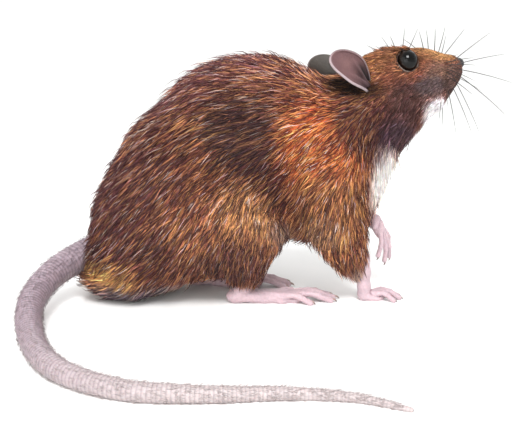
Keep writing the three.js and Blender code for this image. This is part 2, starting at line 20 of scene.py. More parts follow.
import bpy
import numpy as np
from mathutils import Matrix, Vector


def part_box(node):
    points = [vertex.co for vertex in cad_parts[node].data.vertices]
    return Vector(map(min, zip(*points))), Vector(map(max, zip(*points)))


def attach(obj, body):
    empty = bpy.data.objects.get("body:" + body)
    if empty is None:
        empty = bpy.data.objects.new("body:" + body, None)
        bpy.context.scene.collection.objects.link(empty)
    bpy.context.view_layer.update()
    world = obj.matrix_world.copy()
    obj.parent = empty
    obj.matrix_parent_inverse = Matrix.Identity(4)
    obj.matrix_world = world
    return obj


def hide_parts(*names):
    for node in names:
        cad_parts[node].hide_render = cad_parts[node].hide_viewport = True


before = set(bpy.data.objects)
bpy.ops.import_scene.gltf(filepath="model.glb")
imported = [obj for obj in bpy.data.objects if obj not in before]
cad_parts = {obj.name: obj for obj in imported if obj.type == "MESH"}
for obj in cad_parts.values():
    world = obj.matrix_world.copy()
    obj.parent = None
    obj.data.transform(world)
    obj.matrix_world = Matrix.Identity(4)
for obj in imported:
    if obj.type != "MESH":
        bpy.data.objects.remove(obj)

log = logging.getLogger("field_mouse")
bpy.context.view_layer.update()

Points = np.ndarray  # places, one row of x, y and z each, in mm
Distances = np.ndarray  # one distance for each place, in mm
Form = Callable[[Points], Distances]

MM = 0.001  # metres in a millimetre
SIDES = {"right": -1.0, "left": 1.0}


# ---- small sums


def at(x: float, y: float, z: float) -> Points:
    """A place or a direction, in mm."""
    return np.array((x, y, z), float)


def length_of(rows: Points) -> Distances:
    """The length of each row, never quite zero."""
    return np.sqrt(np.einsum("ij,ij->i", rows, rows)) + 1e-9


def unit(rows: Points) -> Points:
    """Each row at length one; a single direction may be given too.

    Args:
        rows: directions, or a single one.

    Returns:
        The same directions, at length one.
    """
    rows = np.asarray(rows, float)
    if rows.ndim == 1:
        return rows / np.linalg.norm(rows)
    return rows / length_of(rows)[:, None]


def smooth(value: np.ndarray, low: float, high: float) -> np.ndarray:
    """Runs smoothly from 0 at `low` to 1 at `high`."""
    t = np.clip((value - low) / (high - low), 0.0, 1.0)
    return t * t * (3.0 - 2.0 * t)


def mix(a: np.ndarray, b: np.ndarray, share: np.ndarray) -> np.ndarray:
    """Goes from number `a` to number `b` by a share."""
    return a + (b - a) * share


def mix_rows(a: np.ndarray, b: np.ndarray, share: np.ndarray) -> np.ndarray:
    """Goes from `a` to `b`, which are colours or places, by a share for each row."""
    return a + (b - a) * np.asarray(share)[..., None]


def bell(value: np.ndarray, middle: float, width: float) -> np.ndarray:
    """Rises to 1 at `middle` and falls off over `width` to both sides."""
    return np.exp(-(((value - middle) / width) ** 2))


def strides(points: Points) -> Distances:
    """How far each point lies from the one before it."""
    return length_of(np.diff(points, axis=0))


def gone_along(points: Points) -> Distances:
    """How far along a line each of its points lies."""
    return np.append(0.0, np.cumsum(strides(points)))


def mirrored(p: Points) -> Points:
    """Places of both sides, folded over onto the left one."""
    return np.column_stack((p[:, 0], np.abs(p[:, 1]), p[:, 2]))


def turn_about(axis: int, degrees: float) -> np.ndarray:
    """The matrix of a turn about x, y or z (axis 0, 1 or 2).

    Args:
        axis: 0, 1 or 2 for x, y or z.
        degrees: how far.

    Returns:
        The matrix.
    """
    c, s = math.cos(math.radians(degrees)), math.sin(math.radians(degrees))
    matrix = np.eye(3)
    i, j = (axis + 1) % 3, (axis + 2) % 3
    matrix[i, i], matrix[i, j], matrix[j, i], matrix[j, j] = c, -s, s, c
    return matrix


def linear(hex_colour: str) -> np.ndarray:
    """Turns an sRGB hex colour into linear red, green and blue."""
    parts = np.array([int(hex_colour[i:i + 2], 16) for i in (1, 3, 5)]) / 255.0
    return np.where(parts <= 0.04045, parts / 12.92, ((parts + 0.055) / 1.055) ** 2.4)


def painted(colour: np.ndarray, hex_colour: str, share: np.ndarray) -> np.ndarray:
    """Linear colours with a hex colour laid over them, by a share for each row."""
    return mix_rows(colour, linear(hex_colour), share)


# ---- forms: distance fields


def ellipsoid(centre: Points, radii: Points, pitch: float = 0.0) -> Form:
    """An ellipsoid, pitched nose-up about its own centre.

    Args:
        centre: its middle.
        radii: its half sizes before the pitch.
        pitch: degrees nose-up.

    Returns:
        The distance to it.
    """
    turn = turn_about(1, pitch)

    def distance(p: Points) -> Distances:
        """How far places are from the ellipsoid.

        Args:
            p: places in mm.

        Returns:
            A distance in mm for each place.
        """
        local = (p - centre) @ turn.T / radii
        scaled = length_of(local)
        slope = length_of(local / radii)
        return scaled * (scaled - 1.0) / slope

    return distance


def limb(a: Points, b: Points, ra: float, rb: float) -> Form:
    """A round limb from `a` to `b` whose radius runs from `ra` to `rb`.

    Args:
        a: the middle of its first end.
        b: the middle of its last end.
        ra: its radius at the first end.
        rb: its radius at the last end.

    Returns:
        The distance to it.
    """
    axis = b - a
    length_squared = float(axis @ axis)

    def distance(p: Points) -> Distances:
        """How far places are from the limb.

        Args:
            p: places in mm.

        Returns:
            A distance in mm for each place.
        """
        t = np.clip((p - a) @ axis / length_squared, 0.0, 1.0)
        return length_of(p - a - t[:, None] * axis) - (ra + (rb - ra) * t)

    return distance


def chain(points: Sequence[Points], radii: Sequence[float], blend: float) -> Form:
    """Limbs through a row of points, with a radius at each point."""
    pairs = zip(points, points[1:], radii, radii[1:])
    return melded(blend, [limb(a, b, ra, rb) for a, b, ra, rb in pairs])


def rounding(a: Distances, b: Distances, blend: float) -> Distances:
    """How much a join of two forms is rounded, over `blend` mm."""
    near = np.maximum(blend - np.abs(a - b), 0.0) / blend
    return near * near * blend / 4.0


def melded(blend: float, forms: Sequence[Form]) -> Form:
    """Several forms as one, their joins rounded over `blend` mm.

    Args:
        blend: over how many mm the joins are rounded.
        forms: the forms.

    Returns:
        The distance to all of them together.
    """

    def distance(p: Points) -> Distances:
        """How far places are from the forms together.

        Args:
            p: places in mm.

        Returns:
            A distance in mm for each place.
        """
        joined = forms[0](p)
        for form in forms[1:]:
            d = form(p)
            joined = np.minimum(joined, d) - rounding(joined, d, blend)
        return joined

    return distance


def carved(whole: Form, tool: Form, blend: float) -> Form:
    """A form with a tool's shape cut out of it, the edge rounded over `blend` mm.

    Args:
        whole: the form.
        tool: the shape that is taken out.
        blend: over how many mm the edge is rounded.

    Returns:
        The distance to what is left.
    """

    def distance(p: Points) -> Distances:
        """How far places are from what is left.

        Args:
            p: places in mm.

        Returns:
            A distance in mm for each place.
        """
        a, b = whole(p), -tool(p)
        return np.maximum(a, b) + rounding(a, b, blend)

    return distance


def on_both_sides(form: Form) -> Form:
    """A form of the left side, with its mirror image on the right."""
    return lambda p: form(mirrored(p))


def nearby(form: Form, low: Points, high: Points, away: float = 9.0) -> Form:
    """The same form, worked out only inside a box and simply far away outside it.

    Args:
        form: the form.
        low: the box's least corner.
        high: the box's greatest corner.
        away: the distance that it gives outside.

    Returns:
        The form inside its box.
    """

    def distance(p: Points) -> Distances:
        """The form's own distance inside the box.

        Args:
            p: places in mm.

        Returns:
            A distance in mm for each place.
        """
        inside = np.all((p > low) & (p < high), axis=1)
        result = np.full(len(p), away)
        result[inside] = form(p[inside])
        return result

    return distance


@dataclass(frozen=True)
class Placing:
    """A turn and a place that carry a part from its own frame onto the animal."""

    turn: np.ndarray
    place: np.ndarray

    def onto(self, p: Points) -> Points:
        """Places of the part's own frame as places on the animal."""
        return p @ self.turn.T + self.place

    def back(self, p: Points) -> Points:
        """Places on the animal as places of the part's own frame."""
        return (p - self.place) @ self.turn

    def moved(self, form: Form) -> Form:
        """A form of the part's own frame, set on the animal."""
        return lambda p: form(self.back(p))


def slope_of(form: Form, p: Points, step: float = 0.03) -> tuple[Distances, Points]:
    """The distance and its slope at each place, from four samples round it.

    Args:
        form: the form.
        p: places in mm.
        step: how far off the samples lie along each axis, in mm.

    Returns:
        The distance and its slope at each place.
    """
    corners = np.array([(1, -1, -1), (-1, -1, 1), (-1, 1, -1), (1, 1, 1)], float)
    values = [form(p + corner * step) for corner in corners]
    slope = sum(v[:, None] * corner for v, corner in zip(values, corners)) / (4.0 * step)
    return sum(values) / 4.0, slope


def settled(
    form: Form, p: Points, level: Distances | float = 0.0, steps: int = 4, reach: float = 0.5,
) -> Points:
    """Moves places onto a level of a form, by at most `reach` mm a step.

    Args:
        form: the form.
        p: places in mm.
        level: the distance that they go to.
        steps: how many steps they take.
        reach: the longest step in mm.

    Returns:
        The moved places.
    """
    for _ in range(steps):
        value, slope = slope_of(form, p)
        length = length_of(slope)
        move = np.clip((value - level) / np.maximum(length, 0.2), -reach, reach)
        p = p - (move / length)[:, None] * slope
    return p


# ---- the furred body's outline


@dataclass(frozen=True)
class Torso:
    """The trunk and neck, out to the tips of the coat."""

    trunk_blend: float = 5.0
    neck_blend: float = 4.0
    blend: float = 3.2  # between trunk and neck

    def form(self) -> Form:
        """The distance to the trunk's and the neck's outline."""
        trunk = melded(self.trunk_blend, [
            ellipsoid(at(-20.2, 0, 17.4), at(14.4, 15.4, 16.6)),  # pelvis
            ellipsoid(at(-15.0, 0, 30.8), at(12.9, 13.8, 13.4)),  # croup
            ellipsoid(at(-1.4, 0, 37.8), at(17.4, 15.2, 17.7)),  # loin
            ellipsoid(at(7.2, 0, 40.7), at(15.4, 14.0, 15.4)),  # ribs
            ellipsoid(at(7.5, 0, 27.6), at(15.0, 12.6, 13.6)),  # belly
            ellipsoid(at(22.4, 0, 30.8), at(12.6, 10.6, 14.6)),  # chest
            ellipsoid(at(-28.0, 0, 7.8), at(9.2, 12.6, 7.4)),  # rump over the tail root
        ])
        neck = melded(self.neck_blend, [
            limb(at(18.0, 0, 40.8), at(30.5, 0, 46.0), 10.4, 7.9),
            limb(at(25.0, 0, 37.0), at(33.6, 0, 41.8), 9.6, 7.4),  # throat
        ])
        return melded(self.blend, [trunk, neck])


@dataclass(frozen=True)
class Head:
    """The head: its outline, its eyes' seats, and the bare details of lids, nose and mouth.

    All its sizes are in the head's own frame, facing +X, before the neck turns it.
    """

    yaw: float = 12.0
    pivot: Points = field(default_factory=lambda: at(28.0, 0, 47.0))
    eye_radius: float = 2.55
    eye_seat: Points = field(default_factory=lambda: at(37.25, 4.5, 55.5))
    gaze: Points = field(default_factory=lambda: unit(at(0.06, 0.95, 0.28)))
    eye_shown: float = 2.4  # radius of the round of eye between the lids
    lid: float = 0.2  # how far the lid stands off the eyeball
    nose: Points = field(default_factory=lambda: at(52.0, 0, 55.0))
    nose_size: Points = field(default_factory=lambda: at(1.45, 1.6, 1.35))

    @property
    def turned(self) -> Placing:
        """How the neck turns the head."""
        turn = turn_about(2, self.yaw)
        return Placing(turn, self.pivot - turn @ self.pivot)

    def gaze_of(self, side: float) -> Points:
        """The line of sight of the eye of one side, on the animal."""
        return self.turned.turn @ (self.gaze * (1, side, 1))

    def outline(self) -> Form:
        """The head's outline with its coat, in its own frame."""
        return melded(2.2, [
            ellipsoid(at(33.6, 0, 50.6), at(9.4, 7.4, 7.45), 15),  # braincase
            ellipsoid(at(40.4, 0, 52.4), at(8.6, 6.0, 5.95), 8),  # orbits
            limb(at(43.5, 0, 52.6), at(49.4, 0, 53.7), 5.1, 3.4),  # muzzle
            limb(at(35.0, 3.0, 44.8), at(43.2, 1.4, 47.4), 5.8, 4.7),  # left jaw
            limb(at(35.0, -3.0, 44.8), at(43.2, -1.4, 47.4), 5.8, 4.7),  # right jaw
            limb(at(43.6, 0, 47.2), at(48.0, 0, 49.6), 3.8, 2.8),  # chin
            ellipsoid(at(47.8, 2.0, 52.4), at(3.6, 2.1, 3.2), 20),  # left whisker pad
            ellipsoid(at(47.8, -2.0, 52.4), at(3.6, 2.1, 3.2), 20),  # right whisker pad
        ])

    def lids(self) -> Form:
        """A cap of skin on the eyeball, open over the round of eye that shows (left side)."""
        cosine = math.sqrt(1.0 - (self.eye_shown / self.eye_radius) ** 2)

        def distance(p: Points) -> Distances:
            """How far places are from the cap.

            Args:
                p: places in mm.

            Returns:
                A distance in mm for each place.
            """
            local = p - self.eye_seat
            radius = length_of(local)
            ahead = local @ self.gaze / radius
            shell = radius - self.eye_radius - self.lid * smooth(ahead, 1.15, 0.2)
            opening = (ahead - cosine) * self.eye_radius
            return np.maximum(shell, opening * 0.8)

        return distance

    def socket(self) -> Form:
        """The room that the eyeball takes out of the skin (left side)."""
        return lambda p: length_of(p - self.eye_seat) - self.eye_radius - 0.03

    def nose_pad(self) -> Form:
        """The bare tip with the two folds that flank its nostrils."""
        tip = ellipsoid(self.nose, self.nose_size, 15)
        wing = ellipsoid(self.nose + at(0.35, 0.8, -0.15), at(0.8, 0.55, 0.75), 15)
        return on_both_sides(melded(0.4, [tip, wing]))

    def nostril(self) -> Form:
        """A comma-shaped hole that runs back and outwards (left side)."""
        hole = self.nose + at(1.05, 0.62, -0.3)
        way = [hole, hole + at(-0.1, 0.45, 0.12), hole + at(-0.55, 0.8, 0.3)]
        return chain(way, [0.34, 0.24, 0.1], 0.1)

    def mouth(self) -> Form:
        """The cleft under the nose and the lip line back along the cheek (left side)."""
        lip = [at(51.6, 0, 51.8), at(50.6, 1.7, 50.9), at(48.6, 3.0, 50.1), at(46.2, 3.9, 49.8)]
        cleft = limb(self.nose + at(1.0, 0, -0.9), lip[0], 0.2, 0.24)
        return melded(0.2, [cleft, chain(lip, [0.3, 0.34, 0.3, 0.16], 0.2)])

    def worked(self, skin: Form) -> Form:
        """The head's skin with its folds and openings.

        Args:
            skin: the plain skin, in the head's own frame.

        Returns:
            The skin with brows, cheeks, nose, lids, sockets, nostrils and mouth.
        """
        brow = ellipsoid(self.eye_seat + at(-0.2, -0.6, 1.5), at(2.4, 1.2, 0.7), 8)
        cheek = ellipsoid(at(41.5, 4.4, 49.0), at(3.4, 1.6, 2.6), 20)
        sunk = [on_both_sides(lambda p: brow(p) + 0.25), on_both_sides(lambda p: cheek(p) + 0.5)]
        made = melded(0.9, [skin, *sunk])
        made = melded(0.5, [made, self.nose_pad()])
        made = melded(0.55, [made, on_both_sides(self.lids())])
        for opening, blend in ((self.socket(), 0.12), (self.nostril(), 0.2), (self.mouth(), 0.35)):
            made = carved(made, on_both_sides(opening), blend)
        return made


@dataclass(frozen=True)
class Leg:
    """The joints of one fore and one hind leg, and their furred forms."""

    hip: Points
    knee: Points
    ankle: Points
    heel: Points
    shoulder: Points
    elbow: Points
    wrist: Points
    paw: Points

    def form(self) -> Form:
        """The outline of the furred legs of one side."""
        hind = melded(3.0, [
            ellipsoid(self.hip, at(13.4, 7.4, 12.8), -20),  # thigh
            limb(self.knee, self.ankle, 5.6, 2.5),
            limb(self.hip, self.knee, 7.5, 6.2),
        ])
        fore = melded(2.5, [
            limb(self.shoulder, self.elbow, 7.0, 5.4),
            limb(self.elbow, self.wrist + at(0.3, 0, 0), 4.8, 1.9),
        ])
        return melded(3.2, [hind, fore])


STANCE = 7.2  # from the midline to the middle of a hind foot
LEGS = {
    "right": Leg(
        hip=at(-6.2, -9.2, 20.6), knee=at(3.0, -10.2, 16.2),
        ankle=at(1.6, -STANCE, 4.8), heel=at(-1.9, -STANCE, 0),
        shoulder=at(20.6, -7.4, 31.0), elbow=at(23.6, -8.2, 16.8),
        wrist=at(28.6, -5.4, 6.6), paw=at(28.0, -5.4, 0),
    ),
    "left": Leg(
        hip=at(-13.0, 9.2, 20.6), knee=at(-4.8, 10.2, 16.2),
        ankle=at(-8.6, STANCE, 4.8), heel=at(-12.1, STANCE, 0),
        shoulder=at(20.6, 7.4, 31.0), elbow=at(24.4, 8.0, 21.0),
        wrist=at(30.8, 6.2, 18.6), paw=at(32.6, 6.2, 17.2),
    ),
}


# ---- bare feet


@dataclass(frozen=True)
class Toe:
    """Where a toe leaves the foot and how long it is, as shares of the foot, and how it splays."""

    start: float
    offset: float
    length: float
    splay: float


# Along a toe: the share of its length, its height, what a full arch adds to that, and its radius,
# the last three in toe radii.
TOE_SPOTS = (
    (-0.3, 1.5, 0.4, 1.1), (0.12, 1.9, 0.9, 0.98), (0.32, 2.0, 1.0, 0.86),
    (0.52, 1.75, 0.75, 0.98), (0.68, 1.3, 0.35, 0.84), (0.84, 0.95, 0.0, 0.98),
)
# Along a claw: the share of its toe's length, its height and its radius in toe radii.
CLAW_SPOTS = (
    (0.78, 1.15, 0.52), (0.86, 1.42, 0.5), (0.94, 1.22, 0.34), (0.985, 0.84, 0.19), (1.0, 0.5, 0.05),
)
BONE_RADII = (0.9, 0.98)  # of a ridge at the heel and at the knuckle, in toe radii


class Pose(Enum):
    """How a foot is held."""

    FLAT = "flat"
    LIFTED = "lifted"


@dataclass(frozen=True)
class Foot:
    """A bare foot in its own frame: it points along +X from its heel, with its sole on z = 0.

    `inner` is +1 where the inner edge of the foot is towards +Y, and -1 where it is towards -Y.
    """

    name: str
    placing: Placing
    inner: float
    length: float
    toes: tuple[Toe, ...]
    toe_radius: float
    palm_radius: float
    palm_rise: float
    shank: tuple[Points, ...]
    shank_radii: tuple[float, ...]
    droop: float = 0.0
    heel: float = 0.03  # where the palm starts, as a share of the foot
    arch: float = 0.0  # how many toe radii higher than flat the middle of each toe stands
    thumb: bool = False

    @property
    def palm_end(self) -> float:
        """How far forward the palm runs."""
        return max(toe.start for toe in self.toes) * self.length

    def toe_point(self, toe: Toe, share: float, height: float) -> Points:
        """A point on a toe, `share` of its length out and `height` toe radii up.

        Args:
            toe: the toe.
            share: how far along the toe, over its length.
            height: how high, in toe radii.

        Returns:
            The place, in the foot's own frame.
        """
        reach = toe.length * self.length
        heading = math.radians(self.inner * toe.splay)
        fall = math.radians(self.droop) * share
        level = share * reach * math.cos(fall)
        return at(
            toe.start * self.length + level * math.cos(heading),
            self.inner * toe.offset + level * math.sin(heading),
            height * self.toe_radius - share * reach * math.sin(fall),
        )

    def palm(self) -> Form:
        """The flattened palm or sole, from heel to the roots of the toes."""
        flatten = 0.66
        end, r = self.palm_end, self.palm_radius
        spine = [
            at(self.heel * self.length, 0, self.palm_rise), at(0.36 * end, 0, 0.75 * r),
            at(0.75 * end, 0, 0.62 * r), at(0.97 * end, 0, 0.5 * r),
        ]
        squeeze = at(1, 1, 1 / flatten)
        flat = chain([p * squeeze for p in spine], [0.96 * r, 1.1 * r, 1.16 * r, 1.02 * r], 0.3)
        return lambda p: flat(p * squeeze) * 0.8

    def bones(self) -> list[Form]:
        """The ridges that run over the back of the foot to each toe."""
        root = at(0.22 * self.length, 0, self.palm_rise + 0.35 * self.palm_radius)
        radii = [share * self.toe_radius for share in BONE_RADII]
        ridges = []
        for toe in self.toes:
            knuckle = self.toe_point(toe, 0.02, 1.95 + 0.7 * self.arch)
            ridges.append(limb(root + at(0, 0.22 * self.inner * toe.offset, 0), knuckle, *radii))
        return ridges

    def toe_form(self, toe: Toe) -> Form:
        """One toe: two knuckles and a swollen pad under its tip.

        Args:
            toe: the toe.

        Returns:
            The distance to the toe.
        """
        r = self.toe_radius
        points = [self.toe_point(toe, share, height + arched * self.arch)
                  for share, height, arched, _ in TOE_SPOTS]
        return chain(points, [r * radius for *_, radius in TOE_SPOTS], 0.25 * r)

    def pads(self) -> Form:
        """The pads under the roots of the toes, and two at the heel of the foot."""
        r = self.toe_radius
        spots = [self.toe_point(toe, -0.06, 0.62) for toe in self.toes]
        spots += [at(0.3 * self.length, y * self.palm_radius, 0.75 * r) for y in (-0.45, 0.45)]
        return melded(0.3, [ellipsoid(spot, at(1.35 * r, 1.05 * r, 0.62 * r)) for spot in spots])

    def form(self) -> Form:
        """The whole bare foot in its own frame, flat where it stands."""
        fingers = [self.toe_form(toe) for toe in self.toes]
        parts = [self.palm(), chain(self.shank, self.shank_radii, 0.8), self.pads()]
        if self.thumb:
            root = at(0.16 * self.length, self.inner * 0.95 * self.palm_radius, 0.8 * self.palm_radius)
            parts.append(limb(root, root + at(0.6, self.inner * 0.7, -0.3), 0.5, 0.38))
        back = melded(0.22, [melded(0.9, parts), *self.bones()])
        return melded(0.3, [back, *fingers])

    def on_animal(self) -> Form:
        """The foot on the animal, worked out only near it."""
        shown = self.placing.onto(np.array([at(0, 0, 0), at(self.length, 0, 0), *self.shank]))
        return nearby(self.placing.moved(self.form()), shown.min(0) - 6.0, shown.max(0) + 6.0)

    def claws(self) -> list[tuple[Points, list[float]]]:
        """Each claw as points from its root to its tip, on the animal, with its radii."""
        radii = [radius * self.toe_radius for _, _, radius in CLAW_SPOTS]
        made = []
        for toe in self.toes:
            points = np.array([self.toe_point(toe, share, height) for share, height, _ in CLAW_SPOTS])
            made.append((self.placing.onto(points), radii))
        return made


@dataclass(frozen=True)
class Feet:
    """All four bare feet, worked out from the legs' joints."""

    hind_length: float = 25.5
    fore_length: float = 10.8
    sole_flat: float = 0.2  # how much of each sole is pressed flat by the floor
    hind_toes: tuple[Toe, ...] = (
        Toe(0.46, 1.7, 0.22, 20), Toe(0.6, 1.15, 0.37, 9), Toe(0.62, 0.05, 0.385, 1),
        Toe(0.6, -1.05, 0.37, -7), Toe(0.48, -1.75, 0.29, -17),
    )
    fore_toes: tuple[Toe, ...] = (
        Toe(0.42, 1.1, 0.48, 24), Toe(0.48, 0.4, 0.53, 7), Toe(0.48, -0.4, 0.52, -7),
        Toe(0.4, -1.1, 0.45, -26),
    )
    lifted_toes: tuple[Toe, ...] = (
        Toe(0.42, 1.1, 0.6, 32), Toe(0.48, 0.4, 0.74, 12), Toe(0.48, -0.4, 0.78, -8),
        Toe(0.4, -1.1, 0.66, -28),
    )

    def hind(self, side: str) -> Foot:
        """The hind foot of one side.

        Args:
            side: "right" or "left".

        Returns:
            The foot.
        """
        leg = LEGS[side]
        hock = (at(1.0, 0, 1.7), at(2.2, 0, 3.4), at(leg.ankle[0] - leg.heel[0], 0, leg.ankle[2] + 1.6))
        place = at(leg.heel[0], leg.heel[1], -self.sole_flat)
        return Foot(
            name="hindfoot_" + side, placing=Placing(turn_about(2, -4 * SIDES[side]), place),
            inner=-SIDES[side], length=self.hind_length, toes=self.hind_toes, toe_radius=0.78,
            palm_radius=2.1, palm_rise=1.7, shank=hock, shank_radii=(1.7, 1.75, 1.75), arch=0.9,
        )

    def fore(self, side: str) -> Foot:
        """The forepaw of one side: the right one stands, the left one is lifted.

        Args:
            side: "right" or "left".

        Returns:
            The foot.
        """
        leg = LEGS[side]
        pose = Pose.LIFTED if side == "left" else Pose.FLAT
        if pose is Pose.LIFTED:
            turn = turn_about(2, 4) @ turn_about(1, 63) @ turn_about(0, 35)
            placing = Placing(turn, leg.paw + at(-0.6, 0, 0.6))
            bend = np.array([leg.elbow * 0.3 + leg.wrist * 0.7, leg.wrist, leg.paw + at(0.8, 0, -1.4)])
            shank, radii = tuple(placing.back(bend)), (1.5, 1.45, 1.4)
            toes, droop, arch = self.lifted_toes, 13.0, 0.2
        else:
            place = at(leg.paw[0], leg.paw[1], -self.sole_flat)
            placing = Placing(turn_about(2, -6 * SIDES[side]), place)
            shank = (at(1.7, 0, 1.5), at(1.5, 0, 3.4), at(1.1, -0.5, 7.0), at(0.6, -1.2, 11.0))
            radii = (1.4, 1.45, 1.6, 1.8)
            toes, droop, arch = self.fore_toes, 0.0, 1.5
        return Foot(
            name="forepaw_" + side, placing=placing, inner=-SIDES[side], length=self.fore_length,
            toes=toes, toe_radius=0.62, palm_radius=1.45, palm_rise=1.5, shank=shank,
            shank_radii=radii, droop=droop, heel=0.13, arch=arch, thumb=True,
        )

    def all(self) -> list[Foot]:
        """The four feet."""
        return [make(side) for side in SIDES for make in (self.hind, self.fore)]


# ---- the coat's lie and depth


@dataclass(frozen=True)
class Station:
    """How the coat lies at one place: its direction, its depth over the skin and the hairs' length.

    Places and directions are those of the left side with the head facing straight ahead.
    """

    name: str
    place: tuple[float, float, float]
    lie: tuple[float, float, float]
    depth: float
    length: float


HEAD_STATIONS = (
    Station("nose bridge", (50.0, 0.8, 56.4), (-1.0, 0.1, 0.15), 0.22, 0.9),
    Station("muzzle side", (46.5, 4.6, 52.6), (-1.0, 0.15, -0.25), 0.38, 1.3),
    Station("lip", (46.4, 4.0, 49.6), (-0.85, 0.2, -0.6), 0.42, 1.6),
    Station("chin", (48.0, 0.5, 47.3), (-0.9, 0.0, -0.45), 0.5, 2.0),
    Station("brow", (42.3, 2.5, 58.0), (-1.0, 0.1, 0.05), 0.45, 1.5),
    Station("cheek", (38.5, 6.7, 51.0), (-0.9, 0.2, -0.4), 0.7, 2.6),
    Station("jowl", (36.6, 9.0, 46.0), (-0.55, 0.3, -0.8), 1.0, 3.0),
    Station("crown", (33.6, 3.6, 57.6), (-1.0, 0.15, 0.0), 0.7, 2.2),
    Station("before the ear", (31.0, 7.4, 53.0), (-0.9, 0.3, -0.3), 0.65, 2.0),
    Station("under the jaw", (42.0, 1.5, 43.5), (-0.8, 0.1, -0.75), 0.9, 3.4),
    Station("throat side", (36.0, 6.0, 40.5), (-0.5, 0.2, -0.85), 1.3, 3.8),
    Station("throat", (36.0, 0.0, 39.5), (-0.5, 0.0, -0.85), 1.3, 3.8),
)
BODY_STATIONS = (
    Station("nape", (23.0, 0.0, 55.0), (-1.0, 0.0, -0.12), 1.3, 4.0),
    Station("behind the ear", (24.0, 9.2, 47.2), (-0.95, 0.2, -0.25), 1.4, 4.0),
    Station("neck side", (29.2, 9.1, 41.7), (-0.5, 0.1, -0.85), 1.6, 4.2),
    Station("chest side", (32.0, 7.2, 32.5), (-0.12, 0.1, -1.0), 1.7, 4.6),
    Station("chest", (34.0, 0.0, 33.0), (-0.1, 0.0, -1.0), 1.9, 4.8),
    Station("brisket", (30.5, 6.7, 24.4), (-0.15, 0.1, -1.0), 1.5, 4.2),
    Station("withers", (9.2, 5.0, 54.9), (-1.0, 0.1, -0.12), 2.0, 6.2),
    Station("shoulder top", (15.7, 11.0, 47.3), (-0.95, 0.1, -0.28), 1.9, 5.2),
    Station("shoulder", (21.2, 12.4, 36.6), (-0.72, 0.1, -0.7), 1.8, 4.8),
    Station("arm", (24.7, 13.4, 22.2), (-0.28, 0.1, -0.95), 1.5, 4.2),
    Station("back of the arm", (20.0, 12.9, 18.7), (-0.5, 0.1, -0.85), 1.6, 4.8),
    Station("back", (-0.8, 4.6, 55.4), (-1.0, 0.1, -0.2), 2.2, 7.0),
    Station("rear of the back", (-10.8, 6.9, 50.4), (-0.9, 0.15, -0.5), 2.4, 7.2),
    Station("ribs", (2.7, 14.9, 43.3), (-0.95, 0.1, -0.28), 2.0, 6.2),
    Station("flank", (7.0, 14.2, 32.4), (-0.82, 0.1, -0.55), 1.8, 5.2),
    Station("low flank", (9.2, 12.3, 24.3), (-0.68, 0.1, -0.72), 1.7, 4.8),
    Station("belly side", (11.7, 7.0, 16.9), (-0.6, 0.1, -0.65), 1.5, 4.2),
    Station("belly", (8.0, 0.0, 15.0), (-1.0, 0.0, -0.1), 1.4, 4.0),
    Station("croup", (-20.2, 5.0, 42.5), (-0.75, 0.15, -0.7), 2.4, 7.2),
    Station("top of the haunch", (-21.8, 10.3, 36.3), (-0.75, 0.1, -0.7), 2.3, 7.2),
    Station("haunch", (-17.1, 14.5, 25.8), (-0.65, 0.1, -0.76), 2.1, 6.6),
    Station("rear of the haunch", (-30.2, 11.1, 18.3), (-0.72, 0.0, -0.75), 2.3, 7.2),
    Station("low haunch", (-22.2, 13.7, 9.7), (-0.75, 0.1, -0.66), 1.9, 6.2),
    Station("rump", (-30.6, 11.5, 5.5), (-0.96, 0.0, -0.28), 1.7, 5.6),
    Station("tail root", (-35.0, 4.0, 12.0), (-1.0, 0.1, -0.25), 1.4, 4.6),
    Station("between the legs", (-15.0, 0.0, 2.5), (-1.0, 0.0, -0.25), 1.2, 4.2),
    Station("thigh", (-8.2, 16.1, 26.1), (-0.5, 0.1, -0.87), 1.9, 5.8),
    Station("front of the thigh", (3.7, 14.3, 23.5), (-0.38, 0.1, -0.93), 1.4, 4.2),
    Station("top of the thigh", (-5.0, 14.5, 32.4), (-0.7, 0.1, -0.68), 1.9, 5.8),
    Station("knee", (5.9, 15.9, 18.3), (-0.3, 0.1, -0.95), 1.3, 3.8),
)


